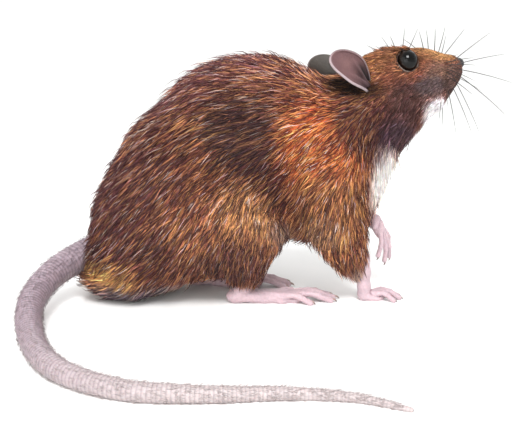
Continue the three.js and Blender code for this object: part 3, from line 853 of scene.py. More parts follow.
@dataclass
class Lie:
    """The coat's direction, depth and length anywhere, drawn from the stations round a place."""

    head: Head
    softness: float = 2.6  # mm over which two stations run into each other

    def __post_init__(self) -> None:
        """Gathers the stations of both sides."""
        rows = [(s, side) for s in HEAD_STATIONS + BODY_STATIONS for side in SIDES.values()]
        places = np.array([np.array(s.place) * (1, side, 1) for s, side in rows])
        lies = np.array([np.array(s.lie) * (1, side, 1) for s, side in rows])
        heads = np.array([s in HEAD_STATIONS for s, _ in rows])
        places[heads] = self.head.turned.onto(places[heads])
        lies[heads] = lies[heads] @ self.head.turned.turn.T
        values = np.array([(s.depth, s.length) for s, _ in rows])
        leg_rows = [row for side, leg in LEGS.items() for row in self.leg_rows(side, leg)]
        self.places = np.vstack([places, [row[0] for row in leg_rows]])
        self.lies = unit(np.vstack([lies, [row[1] for row in leg_rows]]))
        self.values = np.vstack([values, [row[2] for row in leg_rows]])

    @staticmethod
    def leg_rows(side: str, leg: Leg) -> list[tuple[Points, Points, tuple[float, float]]]:
        """Stations down the shin and the forearm, where the coat thins out to the bare foot.

        Args:
            side: "right" or "left".
            leg: the leg.

        Returns:
            The rows for that leg.
        """
        outwards = at(0, 2.5 * SIDES[side], 0)
        shin, forearm = leg.ankle - leg.knee, leg.wrist - leg.elbow
        down = at(-0.25, 0, -1)
        return [
            (leg.knee + 0.5 * shin + outwards * 1.6, unit(shin) + down, (1.1, 4.4)),
            (leg.ankle + outwards * 0.8, unit(shin) * 0.3 + down, (0.6, 3.2)),
            (leg.elbow + outwards * 1.4, unit(forearm) + down, (1.3, 4.6)),
            (leg.elbow + 0.6 * forearm + outwards, unit(forearm) + down * 0.5, (0.9, 4.0)),
            (leg.wrist + outwards * 0.6, unit(forearm), (0.45, 3.0)),
            (leg.elbow + 0.55 * forearm + at(-4.4, 0, -1), down + at(-0.1, 0, 0), (1.1, 5.4)),
            (leg.elbow + 0.85 * forearm + at(-3, 0, -1), down, (0.8, 4.6)),
        ]

    def weights(self, p: Points) -> np.ndarray:
        """How much each station counts at each place.

        Args:
            p: places in mm.

        Returns:
            A row of weights for each place, which come to 1.
        """
        gaps = (p * p).sum(1)[:, None] + (self.places * self.places).sum(1) - 2.0 * p @ self.places.T
        weights = 1.0 / (np.maximum(gaps, 0.0) + self.softness ** 2) ** 2.5
        return weights / weights.sum(1, keepdims=True)

    def direction(self, p: Points) -> Points:
        """The way the hairs point."""
        return unit(self.weights(p) @ self.lies)

    def depth(self, p: Points) -> Distances:
        """How thick the coat is over the skin."""
        return (self.weights(p) @ self.values[:, :1])[:, 0]

    def depth_and_length(self, p: Points) -> tuple[Distances, Distances]:
        """The coat's thickness and the length of its hairs."""
        both = self.weights(p) @ self.values
        return both[:, 0], both[:, 1]


# ---- markings, with painted shadow under and behind the ears


@dataclass(frozen=True)
class Patch:
    """A soft-edged patch of colour: an ellipsoid on both sides of the midline."""

    name: str
    centre: tuple[float, float, float]
    size: tuple[float, float, float]
    colour: str
    strength: float = 0.9

    def off(self, q: Points) -> Distances:
        """How far places are from its middle, as shares of its size."""
        return length_of((q - self.centre) / self.size)


@dataclass(frozen=True)
class Markings:
    """The coat's colours, with painted shadow under and behind the ears, the same for the skin and for
    every lock.
    """

    head: Head
    ground: str = "#8a5340"  # rufous brown
    patches: tuple[Patch, ...] = (
        Patch("back", (-5, 0, 54), (32, 13, 15), "#845053"),
        Patch("haunch", (-22, 9, 26), (17, 14, 25), "#744344"),
        Patch("flank behind the shoulder", (6, 13, 30), (9, 9, 12), "#481d2c", 0.8),
        Patch("ribs", (4, 13, 42), (9, 8, 8), "#4b3134", 0.85),
        Patch("shoulder", (20, 12, 38.5), (9.5, 9, 11), "#cf6639", 1.0),
        Patch("arm", (22, 12, 26), (9, 9, 9), "#8e5e44"),
        Patch("thigh", (-7, 15, 24), (9, 8, 9), "#9d624c", 0.85),
        Patch("front of the thigh", (3, 14, 25), (7, 8, 8), "#a37456", 1.0),
        Patch("shin", (0, 15, 13), (9, 8, 8), "#4e2d36", 0.7),
        Patch("under the tail", (-27.5, 10, 10), (8, 10, 4.8), "#cb9459", 0.95),
        Patch("under the rump", (-18, 10, 3.6), (14, 9, 4.6), "#71727e", 0.9),
        Patch("nape", (20, 0, 55), (11, 8, 5), "#93614a", 0.8),
        Patch("neck", (29, 8, 42), (8, 9, 8), "#522e32"),
        # Painted shadow: these two near-black patches darken the fur under and behind each ear, where the
        # ear's shadow falls.
        Patch("under the ear", (26.5, 8, 50.0), (6, 4.5, 2.2), "#22130f", 1.0),
        Patch("behind the ear", (25.6, 5.2, 50.8), (4.6, 4.2, 2.8), "#1d100e", 1.0),
        Patch("throat", (36, 6, 41), (6, 6, 5), "#4b3a44"),
        Patch("cheek", (38, 7, 48), (6.5, 5, 5), "#503938"),
        Patch("crown", (35, 3, 57), (10, 7, 4.5), "#8f5e42", 1.0),
        Patch("bridge of the nose", (46, 1, 57), (7, 4, 3), "#a97d52"),
        Patch("side of the muzzle", (46, 5, 53), (4.5, 3.5, 3), "#796053", 0.8),
        Patch("lip", (44.2, 5, 50.4), (5, 4, 2.5), "#5c4f51", 0.9),
        Patch("front lip", (49.6, 1.5, 50.4), (3.6, 3.6, 3.2), "#5a4b4a", 0.85),
        Patch("whisker pad", (50.2, 4.0, 52.8), (2.6, 2.6, 2.6), "#67504a", 0.9),
        Patch("tip of the muzzle", (51.6, 0, 54.2), (2.2, 3.2, 3.4), "#55443f", 0.85),
        Patch("chin", (45.6, 2.8, 45.8), (4.5, 4.5, 2.6), "#efe9ee", 1.0),
        Patch("white throat", (40, 0, 41.5), (5, 4.5, 3.5), "#cbc1be", 0.9),
        Patch("middle of the throat", (35.5, 0, 38.5), (6.5, 3.6, 5.5), "#c6bcb8", 0.9),
        Patch("chest", (33, 5, 31), (4.5, 6, 8.5), "#e4dcde", 1.0),
        Patch("back of the arm", (19, 12, 20), (5, 5, 4.5), "#a98066", 0.85),
        Patch("lower edge of the flank", (10, 9, 19), (7, 6, 3.6), "#86726b", 0.8),
        Patch("belly", (8, 0, 14.5), (18, 9.5, 5), "#b0a4a7", 0.85),
        Patch("between the hind legs", (-13, 0, 4), (14, 7, 6), "#9a8a86", 0.8),
        Patch("cuff", (28, 6, 9), (4, 4, 5), "#b2a19c", 0.7),
    )

    def straight(self, p: Points) -> Points:
        """Places as they would be with the head facing straight ahead and both hind legs level.

        Args:
            p: places in mm.

        Returns:
            The places, folded over onto the left side.
        """
        on_head = smooth(p[:, 0], 24.0, 33.0) * smooth(p[:, 2], 30.0, 40.0)
        q = mix_rows(p, self.head.turned.back(p), on_head)
        on_left_thigh = smooth(p[:, 1], 2.0, 6.0) * smooth(p[:, 2], 38.0, 30.0)
        on_left_thigh = on_left_thigh * smooth(p[:, 0], 10.0, 2.0) * smooth(p[:, 0], -34.0, -24.0)
        q[:, 0] += on_left_thigh * (LEGS["right"].hip[0] - LEGS["left"].hip[0])
        return mirrored(q)

    def colour(self, p: Points) -> np.ndarray:
        """The coat's linear colour at each place.

        Args:
            p: places in mm.

        Returns:
            A linear colour for each place.
        """
        q = self.straight(p)
        colour = np.tile(linear(self.ground), (len(p), 1))
        for patch in self.patches:
            colour = painted(colour, patch.colour, patch.strength * smooth(patch.off(q), 1.25, 0.5))
        return colour

    def off(self, name: str, q: Points) -> Distances:
        """How far places are from the middle of a named patch, as shares of its size."""
        return next(patch for patch in self.patches if patch.name == name).off(q)


# ---- the whole animal as one field


@dataclass(frozen=True)
class Cuff:
    """Where a leg is bare above its foot."""

    joint: Points
    way: Points  # the direction in which it is bare
    height: float  # how high the bare skin reaches
    start: float  # how far back from the joint it starts


@dataclass
class Anatomy:
    """The animal's outline with its coat, and its skin beneath it, as distance fields."""

    blend: float = 3.2  # of torso, head and legs
    foot_blend: float = 0.9  # of a bare foot and the leg above it
    coat_reach: float = 6.0  # the coat is less deep than this everywhere
    face_start: tuple[float, float] = (30.0, 40.0)  # the least x and z of the face

    def __post_init__(self) -> None:
        """Puts the torso, head, legs and feet together."""
        self.head = Head()
        self.lie = Lie(self.head)
        self.markings = Markings(self.head)
        self.feet = Feet().all()
        turned_head = self.head.turned.moved(self.head.outline())
        legs = [leg.form() for leg in LEGS.values()]
        self.outline = melded(self.blend, [Torso().form(), turned_head, *legs])
        self.bare_feet = melded(0.1, [foot.on_animal() for foot in self.feet])
        self.cuffs = [Cuff(leg.ankle, at(0.1, 0, -1), 7.0, 2.2) for leg in LEGS.values()]
        self.cuffs.append(Cuff(LEGS["right"].wrist, at(0.9, 0, -0.32), 12.2, 0.2))
        self.eyes = self.head.turned.onto(
            np.array([self.head.eye_seat * (1, side, 1) for side in SIDES.values()]))

    def under_coat(self, p: Points) -> Distances:
        """The plain skin: the outline, drawn in by the coat's depth.

        Args:
            p: places in mm.

        Returns:
            A distance in mm for each place.
        """
        d = self.outline(p)
        close = np.abs(d) < self.coat_reach
        d[close] += self.lie.depth(p[close])
        return d

    def skin(self, p: Points) -> Distances:
        """The finished skin, with the face worked and the bare feet on, flat on the floor.

        Args:
            p: places in mm.

        Returns:
            A distance in mm for each place.
        """
        d = self.under_coat(p)
        facing = (p[:, 0] > self.face_start[0]) & (p[:, 2] > self.face_start[1])
        if facing.any():
            plain = d[facing]
            d[facing] = self.head.worked(lambda _: plain)(self.head.turned.back(p[facing]))
        feet = self.bare_feet(p)
        return np.maximum(np.minimum(d, feet) - rounding(d, feet, self.foot_blend), -p[:, 2])

    def off_gaze(self, p: Points) -> Distances:
        """How far each place in front of an eye is from its line of sight; elsewhere a long way.

        Args:
            p: places in mm.

        Returns:
            A distance in mm for each place.
        """
        off = np.full(len(p), 99.0)
        for side, seat in zip(SIDES.values(), self.eyes):
            gaze, local = self.head.gaze_of(side), p - seat
            ahead = local @ gaze
            across = length_of(local - ahead[:, None] * gaze)
            before = (ahead > 0) & (length_of(local) < 3.6)
            off = np.where(before, np.minimum(off, across), off)
        return off

    def cuff(self, p: Points) -> Distances:
        """1 on the bare ankles and the bare front of the wrist that stands, 0 where the coat starts.

        Args:
            p: places in mm.

        Returns:
            A number from 0 to 1 for each place.
        """
        bare = np.zeros(len(p))
        for cuff in self.cuffs:
            near = smooth(length_of(p[:, :2] - cuff.joint[:2]), 5.0, 4.2)
            low = smooth(p[:, 2], cuff.height + 0.8, cuff.height - 0.8)
            past = smooth((p - cuff.joint) @ cuff.way, -cuff.start - 0.5, -cuff.start + 0.5)
            bare = np.maximum(bare, near * low * past)
        return bare

    def eye_gap(self, p: Points) -> Distances:
        """How far each place is from the nearer eyeball's middle."""
        return np.minimum(length_of(p - self.eyes[0]), length_of(p - self.eyes[1]))

    def nose_gap(self, p: Points) -> Distances:
        """How far each place is from the middle of the nose pad."""
        return length_of(p - self.head.turned.onto(self.head.nose[None])[0])


@dataclass
class Shell:
    """A triangle mesh in mm, with a colour at each corner point and a finish for each face."""

    points: Points
    faces: np.ndarray
    colours: np.ndarray | None = None
    finishes: np.ndarray | None = None  # the material number of each face, where there are several
    patches: np.ndarray | None = None  # a texture place for each corner of each face

    @staticmethod
    def together(shells: Sequence["Shell"]) -> "Shell":
        """Several shells as one.

        Args:
            shells: the shells, each with its colours and finishes.

        Returns:
            The one shell.
        """
        starts = np.append(0, np.cumsum([len(shell.points) for shell in shells]))
        return Shell(
            np.vstack([shell.points for shell in shells]),
            np.vstack([shell.faces + start for shell, start in zip(shells, starts)]),
            np.vstack([shell.colours for shell in shells]),
            np.concatenate([shell.finishes for shell in shells]),
        )

    def face_slopes(self) -> tuple[Points, Distances]:
        """The outward direction and the area of each face."""
        a, b, c = (self.points[self.faces[:, i]] for i in range(3))
        across = np.cross(b - a, c - a)
        size = length_of(across)
        return across / size[:, None], size / 2.0


def stepped(*stretches: tuple[float, float, float]) -> np.ndarray:
    """Grid stations along one axis.

    Args:
        stretches: start, end and step of each stretch; each starts where the last one ended.

    Returns:
        The stations, from the first start to the last end.
    """
    rows = [np.linspace(a, b, round((b - a) / step), endpoint=False) for a, b, step in stretches]
    return np.append(np.concatenate(rows), stretches[-1][1])


def netted(form: Form, axes: Sequence[np.ndarray]) -> Shell:
    """The surface of a form over a grid, as one corner for each cell that it crosses.

    Args:
        form: the distance field.
        axes: the grid's stations along x, y and z.

    Returns:
        A closed triangle mesh, if the form lies inside the grid.
    """
    counts = [len(a) for a in axes]
    value = np.empty(counts)
    yz = np.stack(np.meshgrid(axes[1], axes[2], indexing="ij"), -1).reshape(-1, 2)
    for i, x in enumerate(axes[0]):
        layer = np.column_stack((np.full(len(yz), x), yz))
        value[i] = form(layer).reshape(counts[1:])
    inside = value < 0.0
    cells = [n - 1 for n in counts]
    filled = np.zeros(cells, np.int8)
    for i, j, k in np.ndindex(2, 2, 2):
        filled += inside[i:i + cells[0], j:j + cells[1], k:k + cells[2]]
    crossed = (filled > 0) & (filled < 8)
    number = np.full(cells, -1, np.int64)
    number[crossed] = np.arange(crossed.sum())
    where = np.argwhere(crossed)
    low = np.column_stack([axes[i][where[:, i]] for i in range(3)])
    high = np.column_stack([axes[i][where[:, i] + 1] for i in range(3)])
    points = (low + high) / 2.0
    for _ in range(4):
        points = np.clip(settled(form, points, steps=1), low, high)

    quads = []
    for axis in range(3):
        here = [slice(0, n - 1) for n in counts]
        there = list(here)
        there[axis] = slice(1, counts[axis])
        changes = inside[tuple(here)] != inside[tuple(there)]
        others = [(axis + 1) % 3, (axis + 2) % 3]
        spots = np.argwhere(changes)
        spots = spots[(spots[:, others] > 0).all(1)]
        ring = []
        for step in ((0, 0), (1, 0), (1, 1), (0, 1)):
            cell = spots.copy()
            cell[:, others] -= step
            ring.append(number[tuple(cell.T)])
        ring = np.column_stack(ring)
        flip = ~inside[tuple(spots.T)]
        ring[flip] = ring[flip][:, ::-1]
        quads.append(ring)
    quads = np.vstack(quads)
    diagonals = [length_of(points[quads[:, a]] - points[quads[:, b]]) for a, b in ((0, 2), (1, 3))]
    shorter = diagonals[0] < diagonals[1]
    order = np.where(shorter[:, None], [[0, 1, 2, 0, 2, 3]], [[1, 2, 3, 1, 3, 0]])
    faces = np.take_along_axis(quads, order, axis=1).reshape(-1, 3)
    return Shell(points, faces)


def refined(shell: Shell, target: Callable[[Points], Distances]) -> Shell:
    """Halves the edges that are longer than a target, and splits the faces beside them.

    Args:
        shell: the mesh.
        target: the longest edge that may stay, at each place.

    Returns:
        The finer mesh, still closed.
    """
    faces, points = shell.faces, shell.points
    ends = np.sort(faces[:, [[0, 1], [1, 2], [2, 0]]], axis=2).reshape(-1, 2)
    keys = ends[:, 0] * len(points) + ends[:, 1]
    _, first, where = np.unique(keys, return_index=True, return_inverse=True)
    a, b = points[ends[first, 0]], points[ends[first, 1]]
    middles = (a + b) / 2.0
    chosen = length_of(a - b) > target(middles)
    number = np.where(chosen, len(points) + np.cumsum(chosen) - 1, -1)
    mids = number[where.reshape(-1)].reshape(-1, 3)
    split = mids >= 0
    # Each face is turned round so that its split edges come first.
    amount = split.sum(1)
    lead = np.zeros(len(faces), np.int64)
    one, two = amount == 1, amount == 2
    lead[one] = np.argmax(split[one], axis=1)
    lead[two] = (np.argmin(split[two], axis=1) + 1) % 3
    order = (np.arange(3) + lead[:, None]) % 3
    v = np.take_along_axis(faces, order, axis=1)
    m = np.take_along_axis(mids, order, axis=1)
    rows = [v[amount == 0]]
    for count, triples in (
        (1, ("v0 m0 v2", "m0 v1 v2")),
        (2, ("m0 v1 m1", "v0 m0 m1", "v0 m1 v2")),
        (3, ("v0 m0 m2", "m0 v1 m1", "m2 m1 v2", "m0 m1 m2")),
    ):
        chosen_faces = amount == count
        for triple in triples:
            picked = [(v if word[0] == "v" else m)[chosen_faces, int(word[1])] for word in triple.split()]
            rows.append(np.column_stack(picked))
    return Shell(np.vstack([points, middles[chosen]]), np.vstack(rows))


# ---- ears and tail


class Finish(Enum):
    """The finishes of the skin, in the order of its material slots."""

    UNDER_COAT = 0
    PAW = 1
    NOSE = 2
    EAR = 3
    TAIL = 4


def unit_ball(rings: int, spokes: int) -> Points:
    """The corners of a ball of radius 1: `rings` - 1 rings from pole to pole, and then its two poles.

    Args:
        rings: how many steps lie between the poles.
        spokes: how many corners each ring has.

    Returns:
        The places of its corners.
    """
    polar = np.linspace(0.0, math.pi, rings + 1)[1:-1]
    turn = np.arange(spokes) * 2.0 * math.pi / spokes
    tilt, turn = (grid.ravel() for grid in np.meshgrid(polar, turn, indexing="ij"))
    ball = np.column_stack((np.sin(tilt) * np.cos(turn), np.sin(tilt) * np.sin(turn), np.cos(tilt)))
    return np.vstack([ball, (0, 0, 1), (0, 0, -1)])


def capped_faces(rings: int, spokes: int) -> np.ndarray:
    """The triangles of a closed tube or ball: rings of corners, followed by the middles of its ends.

    Args:
        rings: how many rings of corners there are.
        spokes: how many corners each ring has.

    Returns:
        Three corner numbers for each triangle.
    """
    spoke = np.arange(spokes)
    after = (spoke + 1) % spokes
    first, last = spokes * rings, spokes * (rings - 1)
    made = [np.column_stack((np.full(spokes, first), spoke, after))]
    for row in range(rings - 1):
        a, b = row * spokes + spoke, row * spokes + after
        made += [np.column_stack((a, a + spokes, b)), np.column_stack((b, a + spokes, b + spokes))]
    made.append(np.column_stack((np.full(spokes, first + 1), last + after, last + spoke)))
    return np.vstack(made)


@dataclass(frozen=True)
class Ear:
    """A thin cupped leaf of skin, rolled at its rim, with folds where the cup meets the head."""

    side: str
    root: Points
    tip: Points
    hollow: Points
    length: float = 13.8
    width: float = 9.0  # measured round the cup
    cup: float = 3.0
    thickness: float = 0.62
    bead: float = 0.22  # how much thicker it is at its rolled rim
    narrow: float = 0.42  # its width at the root, over its full width
    bulge: float = 1.1  # how far its middle line bows forwards
    rings: int = 44
    spokes: int = 84

    def placing(self, head: Head) -> Placing:
        """How the ear is set on the animal; the right ear is a mirrored left one.

        Args:
            head: the head that carries the ear.

        Returns:
            From the leaf's own frame to the animal.
        """
        along = unit(self.tip)
        forward = unit(np.cross(unit(self.hollow), along))
        basis = np.column_stack([along, forward, np.cross(along, forward)])
        mirror = np.diag([1.0, SIDES[self.side], 1.0])
        turned = head.turned
        return Placing(turned.turn @ mirror @ basis, turned.onto((mirror @ self.root)[None])[0])

    def half_width(self, x: np.ndarray) -> np.ndarray:
        """Half the leaf's width, x from -1 at its root to 1 at its tip."""
        return (self.width / 2) * mix(self.narrow, 1.0, smooth(x, -1.0, 0.2))

    def middle_sheet(self, x: np.ndarray, y: np.ndarray) -> Points:
        """The middle of the leaf at places on a unit disc, x towards the tip and y forwards.

        Args:
            x: how far each place is towards the tip, from -1 to 1.
            y: how far it is forwards, from -1 to 1.

        Returns:
            Places in the leaf's own frame, in mm.
        """
        across = y * self.half_width(x) * (1 - 0.27 * np.maximum(y, 0))
        roll = 0.6 * (2.0 * across / self.width) ** 2 + 0.4 * y * y
        wave = 0.16 * np.sin(3.2 * x + 0.6) * y
        return np.column_stack((
            (x + 1.0) * self.length / 2,
            across * (1.0 - 0.16 * roll) + self.bulge * (1.0 - x * x),
            self.cup * roll * (1.25 - 0.5 * smooth(x, -1.0, 0.2)) + wave,
        ))

    def folds(self, x: np.ndarray, y: np.ndarray) -> np.ndarray:
        """The ridges in the cup: two that rise from its root and a knob, and a furrow inside the rim.

        Args:
            x: how far each place is towards the tip, from -1 to 1.
            y: how far it is forwards, from -1 to 1.

        Returns:
            How far the cup stands up at each place, in mm.
        """
        inner = bell(y - 0.25 * x, 0.34, 0.13) * smooth(x, 0.5, -0.3)
        outer = bell(y + 0.15 * x, -0.3, 0.12) * smooth(x, 0.35, -0.4)
        knob = bell(x, -0.62, 0.16) * bell(y, 0.05, 0.22)
        furrow = bell(np.hypot(x, y), 0.84, 0.05) * smooth(x, -0.7, -0.2)
        return 0.75 * inner + 0.6 * outer + 0.8 * knob - 0.12 * furrow

    def shell(self, head: Head) -> Shell:
        """The ear as a closed leaf, with its colours.

        Args:
            head: the head that carries the ear.

        Returns:
            The ear's mesh on the animal.
        """
        x, y, face = unit_ball(self.rings, self.spokes).T
        middle, step = self.middle_sheet(x, y), 1e-3
        along = self.middle_sheet(x + step, y) - middle
        across = self.middle_sheet(x, y + step) - middle
        half = self.thickness / 2 + self.bead * bell(np.hypot(x, y), 0.985, 0.05)
        folds = np.where(face > 0, self.folds(x, y) * np.clip(face, 0, 1) ** 0.3, 0.0)
        offset = half * np.abs(face) ** 0.42 * np.sign(face) + folds
        placing = self.placing(head)
        points = placing.onto(middle + unit(np.cross(along, across)) * offset[:, None])
        faces = capped_faces(self.rings - 1, self.spokes)
        if np.linalg.det(placing.turn) < 0:
            faces = faces[:, ::-1]
        return Shell(points, faces, self.colours(x, y, face), np.full(len(faces), Finish.EAR.value))

    def colours(self, x: np.ndarray, y: np.ndarray, face: np.ndarray) -> np.ndarray:
        """Flesh brown in the cup, with painted shade that darkens it towards its root and turns the hollow
        there near black, a painted highlight on its folds, slate on the back, and a pale rim.

        Args:
            x: how far each place is towards the tip, from -1 to 1.
            y: how far it is forwards, from -1 to 1.
            face: how far each place is towards the cup, from -1 to 1.

        Returns:
            A linear colour for each place.
        """
        # Painted shade: the cup darkens towards its root.
        cup = painted(linear("#644849"), "#2c1c1f", smooth(x, 0.15, -0.75))
        cup = painted(cup, "#715453", 0.6 * bell(y, 0.1, 0.35) * bell(x, 0.45, 0.3))
        # Painted shade: the hollow at the root of the cup goes near black.
        cup = painted(cup, "#0e0708", 0.97 * bell(y, 0.4, 0.42) * smooth(x, 0.25, -0.3))
        # Painted highlight: the folds in the cup are lighter.
        folds = np.clip(self.folds(x, y), 0, 1) * smooth(x, -0.9, -0.5)
        cup = painted(cup, "#7c6163", 0.55 * folds)
        colour = mix_rows(linear("#4e4a46"), cup, (face > 0).astype(float))
        rim = bell(np.hypot(x, y), 1.0, 0.03) * smooth(x, -0.95, -0.6)
        return painted(colour, "#a8999c", rim * (0.3 + 0.55 * smooth(y, 0.3, -0.3)))

    def gap(self, head: Head, p: Points) -> Distances:
        """Roughly how far places are from the leaf.

        Args:
            head: the head that carries the ear.
            p: places in mm.

        Returns:
            A distance in mm for each place.
        """
        local = self.placing(head).back(p)
        x = 2.0 * local[:, 0] / self.length - 1.0
        y = (local[:, 1] - self.bulge * (1.0 - x * x)) / self.half_width(x)
        sheet = self.middle_sheet(np.clip(x, -1, 1), np.clip(y, -1, 1))[:, 2]
        off_edge = np.maximum(np.hypot(x, y) - 1.0, 0.0) * self.width / 2
        return np.hypot(local[:, 2] - sheet, off_edge)


EARS = (
    Ear("right", at(28.4, 6, 48.6), at(-0.77, 0.24, 0.59), at(0.32, 0.9, 0.16)),
    Ear("left", at(29.4, 6, 48.2), at(-0.8, 0.26, 0.53), at(0.32, 0.9, 0.2)),
)


@dataclass(frozen=True)
class Tail:
    """The tail: it drops off the rump and lies round on the floor, ringed with scales to its tip."""

    radius: float = 3.3
    root_swell: float = 1.2
    tip_radius: float = 0.45
    pressed: float = 0.2  # how much of the tail the floor presses flat
    root_ring: float = 1.15  # length of a ring of scales at the root
    tip_ring: float = 0.62  # and at the tip
    scales: int = 15  # in a ring
    sides: int = 28
    steps_in_ring: int = 4
    samples: int = 600
    hanging: tuple[Points, ...] = (
        at(-27.0, 0, 12.6), at(-35.0, -0.6, 10.8), at(-42.2, -8.4, 8.0), at(-44.6, -20.0, 5.0),
    )
    lying: tuple[tuple[float, float], ...] = (
        (-41.2, -34.0), (-31.6, -50.6), (-18.6, -58.6), (-5.0, -59.8), (10.0, -58.8),
        (21.0, -59.8), (29.8, -63.6),
    )

    def radius_at(self, share: np.ndarray) -> np.ndarray:
        """A quick taper off the root, then an even one to the tip."""
        even = self.tip_radius + (self.radius - self.tip_radius) * np.maximum(1 - share, 0) ** 0.75
        return even + self.root_swell * np.exp(-9 * share)

    def way(self) -> Points:
        """Evenly spaced places along the tail's middle line, root first."""
        first = len(self.hanging)
        points = np.array([*self.hanging, *(at(x, y, self.radius / 2) for x, y in self.lying)])
        gone = gone_along(points)
        points[first:, 2] = (self.radius_at(gone / gone[-1]) - self.pressed)[first:]
        knots = np.append(0.0, np.cumsum(strides(points) ** 0.5))
        ends = [2 * points[0] - points[1], *points, 2 * points[-1] - points[-2]]
        knots = np.array([2 * knots[0] - knots[1], *knots, 2 * knots[-1] - knots[-2]])
        curve = [self.between(ends[i:i + 4], knots[i:i + 4]) for i in range(len(points) - 1)]
        fine = np.vstack([*curve, points[-1:]])
        run = gone_along(fine)
        even = np.linspace(0, run[-1], self.samples)
        return np.column_stack([np.interp(even, run, fine[:, i]) for i in range(3)])

    @staticmethod
    def between(points: Sequence[Points], knots: np.ndarray) -> Points:
        """A centripetal Catmull-Rom stretch from the second of four points to the third.

        Args:
            points: the four points.
            knots: the knot of each point.

        Returns:
            Places along the stretch, without its end.
        """
        t = np.linspace(knots[1], knots[2], 60, endpoint=False)[:, None]
        rows = list(points)
        for level in (1, 2, 3):
            ends = [(i, i + level) if level < 3 else (1, 2) for i in range(4 - level)]
            rows = [
                (a * (knots[last] - t) + b * (t - knots[first])) / (knots[last] - knots[first])
                for a, b, (first, last) in zip(rows, rows[1:], ends)
            ]
        return rows[0]

    def frames(self, share: np.ndarray) -> tuple[Points, Points, Points, Points]:
        """The middle line, its direction, and the sideways and upward directions, at each share.

        Args:
            share: places along the tail, from 0 at its root to 1 at its tip.

        Returns:
            The middle, the way ahead, the way across and the way up at each place.
        """
        way = self.way()
        grid = np.linspace(0, 1, len(way))
        spot = np.column_stack([np.interp(share, grid, way[:, i]) for i in range(3)])
        slopes = np.gradient(way, axis=0)
        ahead = unit(np.column_stack([np.interp(share, grid, slopes[:, i]) for i in range(3)]))
        across = unit(np.cross(at(0, 0, 1), ahead))
        return spot, ahead, across, np.cross(ahead, across)

    def ring_shares(self) -> np.ndarray:
        """Where each ring of scales starts, as shares of the length."""
        length = strides(self.way()).sum()
        shares = [0.0]
        while shares[-1] < 1.0:
            ring = mix(self.root_ring, self.tip_ring, shares[-1])
            shares.append(shares[-1] + ring / length)
        return np.array(shares) / shares[-1]

    def surface(self, share: np.ndarray, angle: np.ndarray, lift: np.ndarray) -> Points:
        """Places on the tail at a share of its length and an angle round it, lifted off it by mm.

        Args:
            share: places along the tail, from 0 at its root to 1 at its tip.
            angle: the angle round it at each place, in radians.
            lift: how far each place is lifted, in mm.

        Returns:
            The places.
        """
        spot, _, across, upward = self.frames(share)
        radius = self.radius_at(share)
        from_tip = np.minimum((1.0 - share) * strides(self.way()).sum() / radius, 1.0)
        radius = radius * np.sqrt(np.maximum(from_tip * (2.0 - from_tip), 0.0)) + lift
        places = spot + across * (radius * np.cos(angle))[:, None]
        places += upward * (radius * np.sin(angle))[:, None]
        places[:, 2] = np.maximum(places[:, 2], 0.0)
        return places

    def shell(self) -> Shell:
        """The tail as a closed tube whose rings of scales overlap like tiles."""
        rings, n = self.ring_shares(), self.sides
        within = np.arange(self.steps_in_ring) / self.steps_in_ring
        share = np.append((rings[:-1, None] + np.diff(rings)[:, None] * within).ravel(), 1.0)
        tile = np.append(np.tile(within, len(rings) - 1), 0.0)
        count = len(share)
        ring = np.repeat(np.arange(count) // self.steps_in_ring, n)
        angle = np.tile(np.arange(n) * 2 * math.pi / n, count)
        share, tile = np.repeat(share, n), np.repeat(tile, n)
        lip = np.where(tile > 0.5, (tile - 0.5) * 2.0, -0.25 * (1 - tile))
        notch = 0.5 + 0.5 * np.cos(self.scales * (angle + ring * math.pi / self.scales))
        fade = smooth(share, 0.0, 0.12) * (1 - 0.5 * share)
        lift = self.radius_at(share) * 0.045 * fade * (lip - 0.25 * notch)
        ends = np.maximum(self.way()[[0, -1]], (-np.inf, -np.inf, 0.0))
        points = np.vstack([self.surface(share, angle, lift), ends])
        faces = capped_faces(count, n)[:, ::-1]
        colours = self.colours(points, np.append(share, (0.0, 1.0)), np.append(tile, (0.0, 0.0)))
        return Shell(points, faces, colours, np.full(len(faces), Finish.TAIL.value))

    def colours(self, points: Points, share: np.ndarray, tile: np.ndarray) -> np.ndarray:
        """Mauve grey at the root, paler to the tip, with painted shade in the groove at the root of each
        ring.

        Args:
            points: the places themselves.
            share: places along the tail, from 0 at its root to 1 at its tip.
            tile: how far each place is along its ring of scales, from 0 to 1.

        Returns:
            A linear colour for each place.
        """
        top = painted(linear("#9b8a92"), "#98868f", smooth(share, 0.03, 0.3))
        top = painted(top, "#b5a9a9", smooth(share, 0.3, 0.75))
        under = smooth(self.frames(share)[0][:, 2] - points[:, 2], 0.0, 1.6)
        colour = painted(top, "#bdb2b2", 0.5 * under)
        # Painted shade in the groove where each ring of scales tucks under the lip of the ring before.
        groove = (1.0 - smooth(np.abs(tile - 0.05), 0.0, 0.3)) * (1 - 0.6 * share)
        return painted(colour, "#62525b", 0.7 * groove)


# ---- the skin


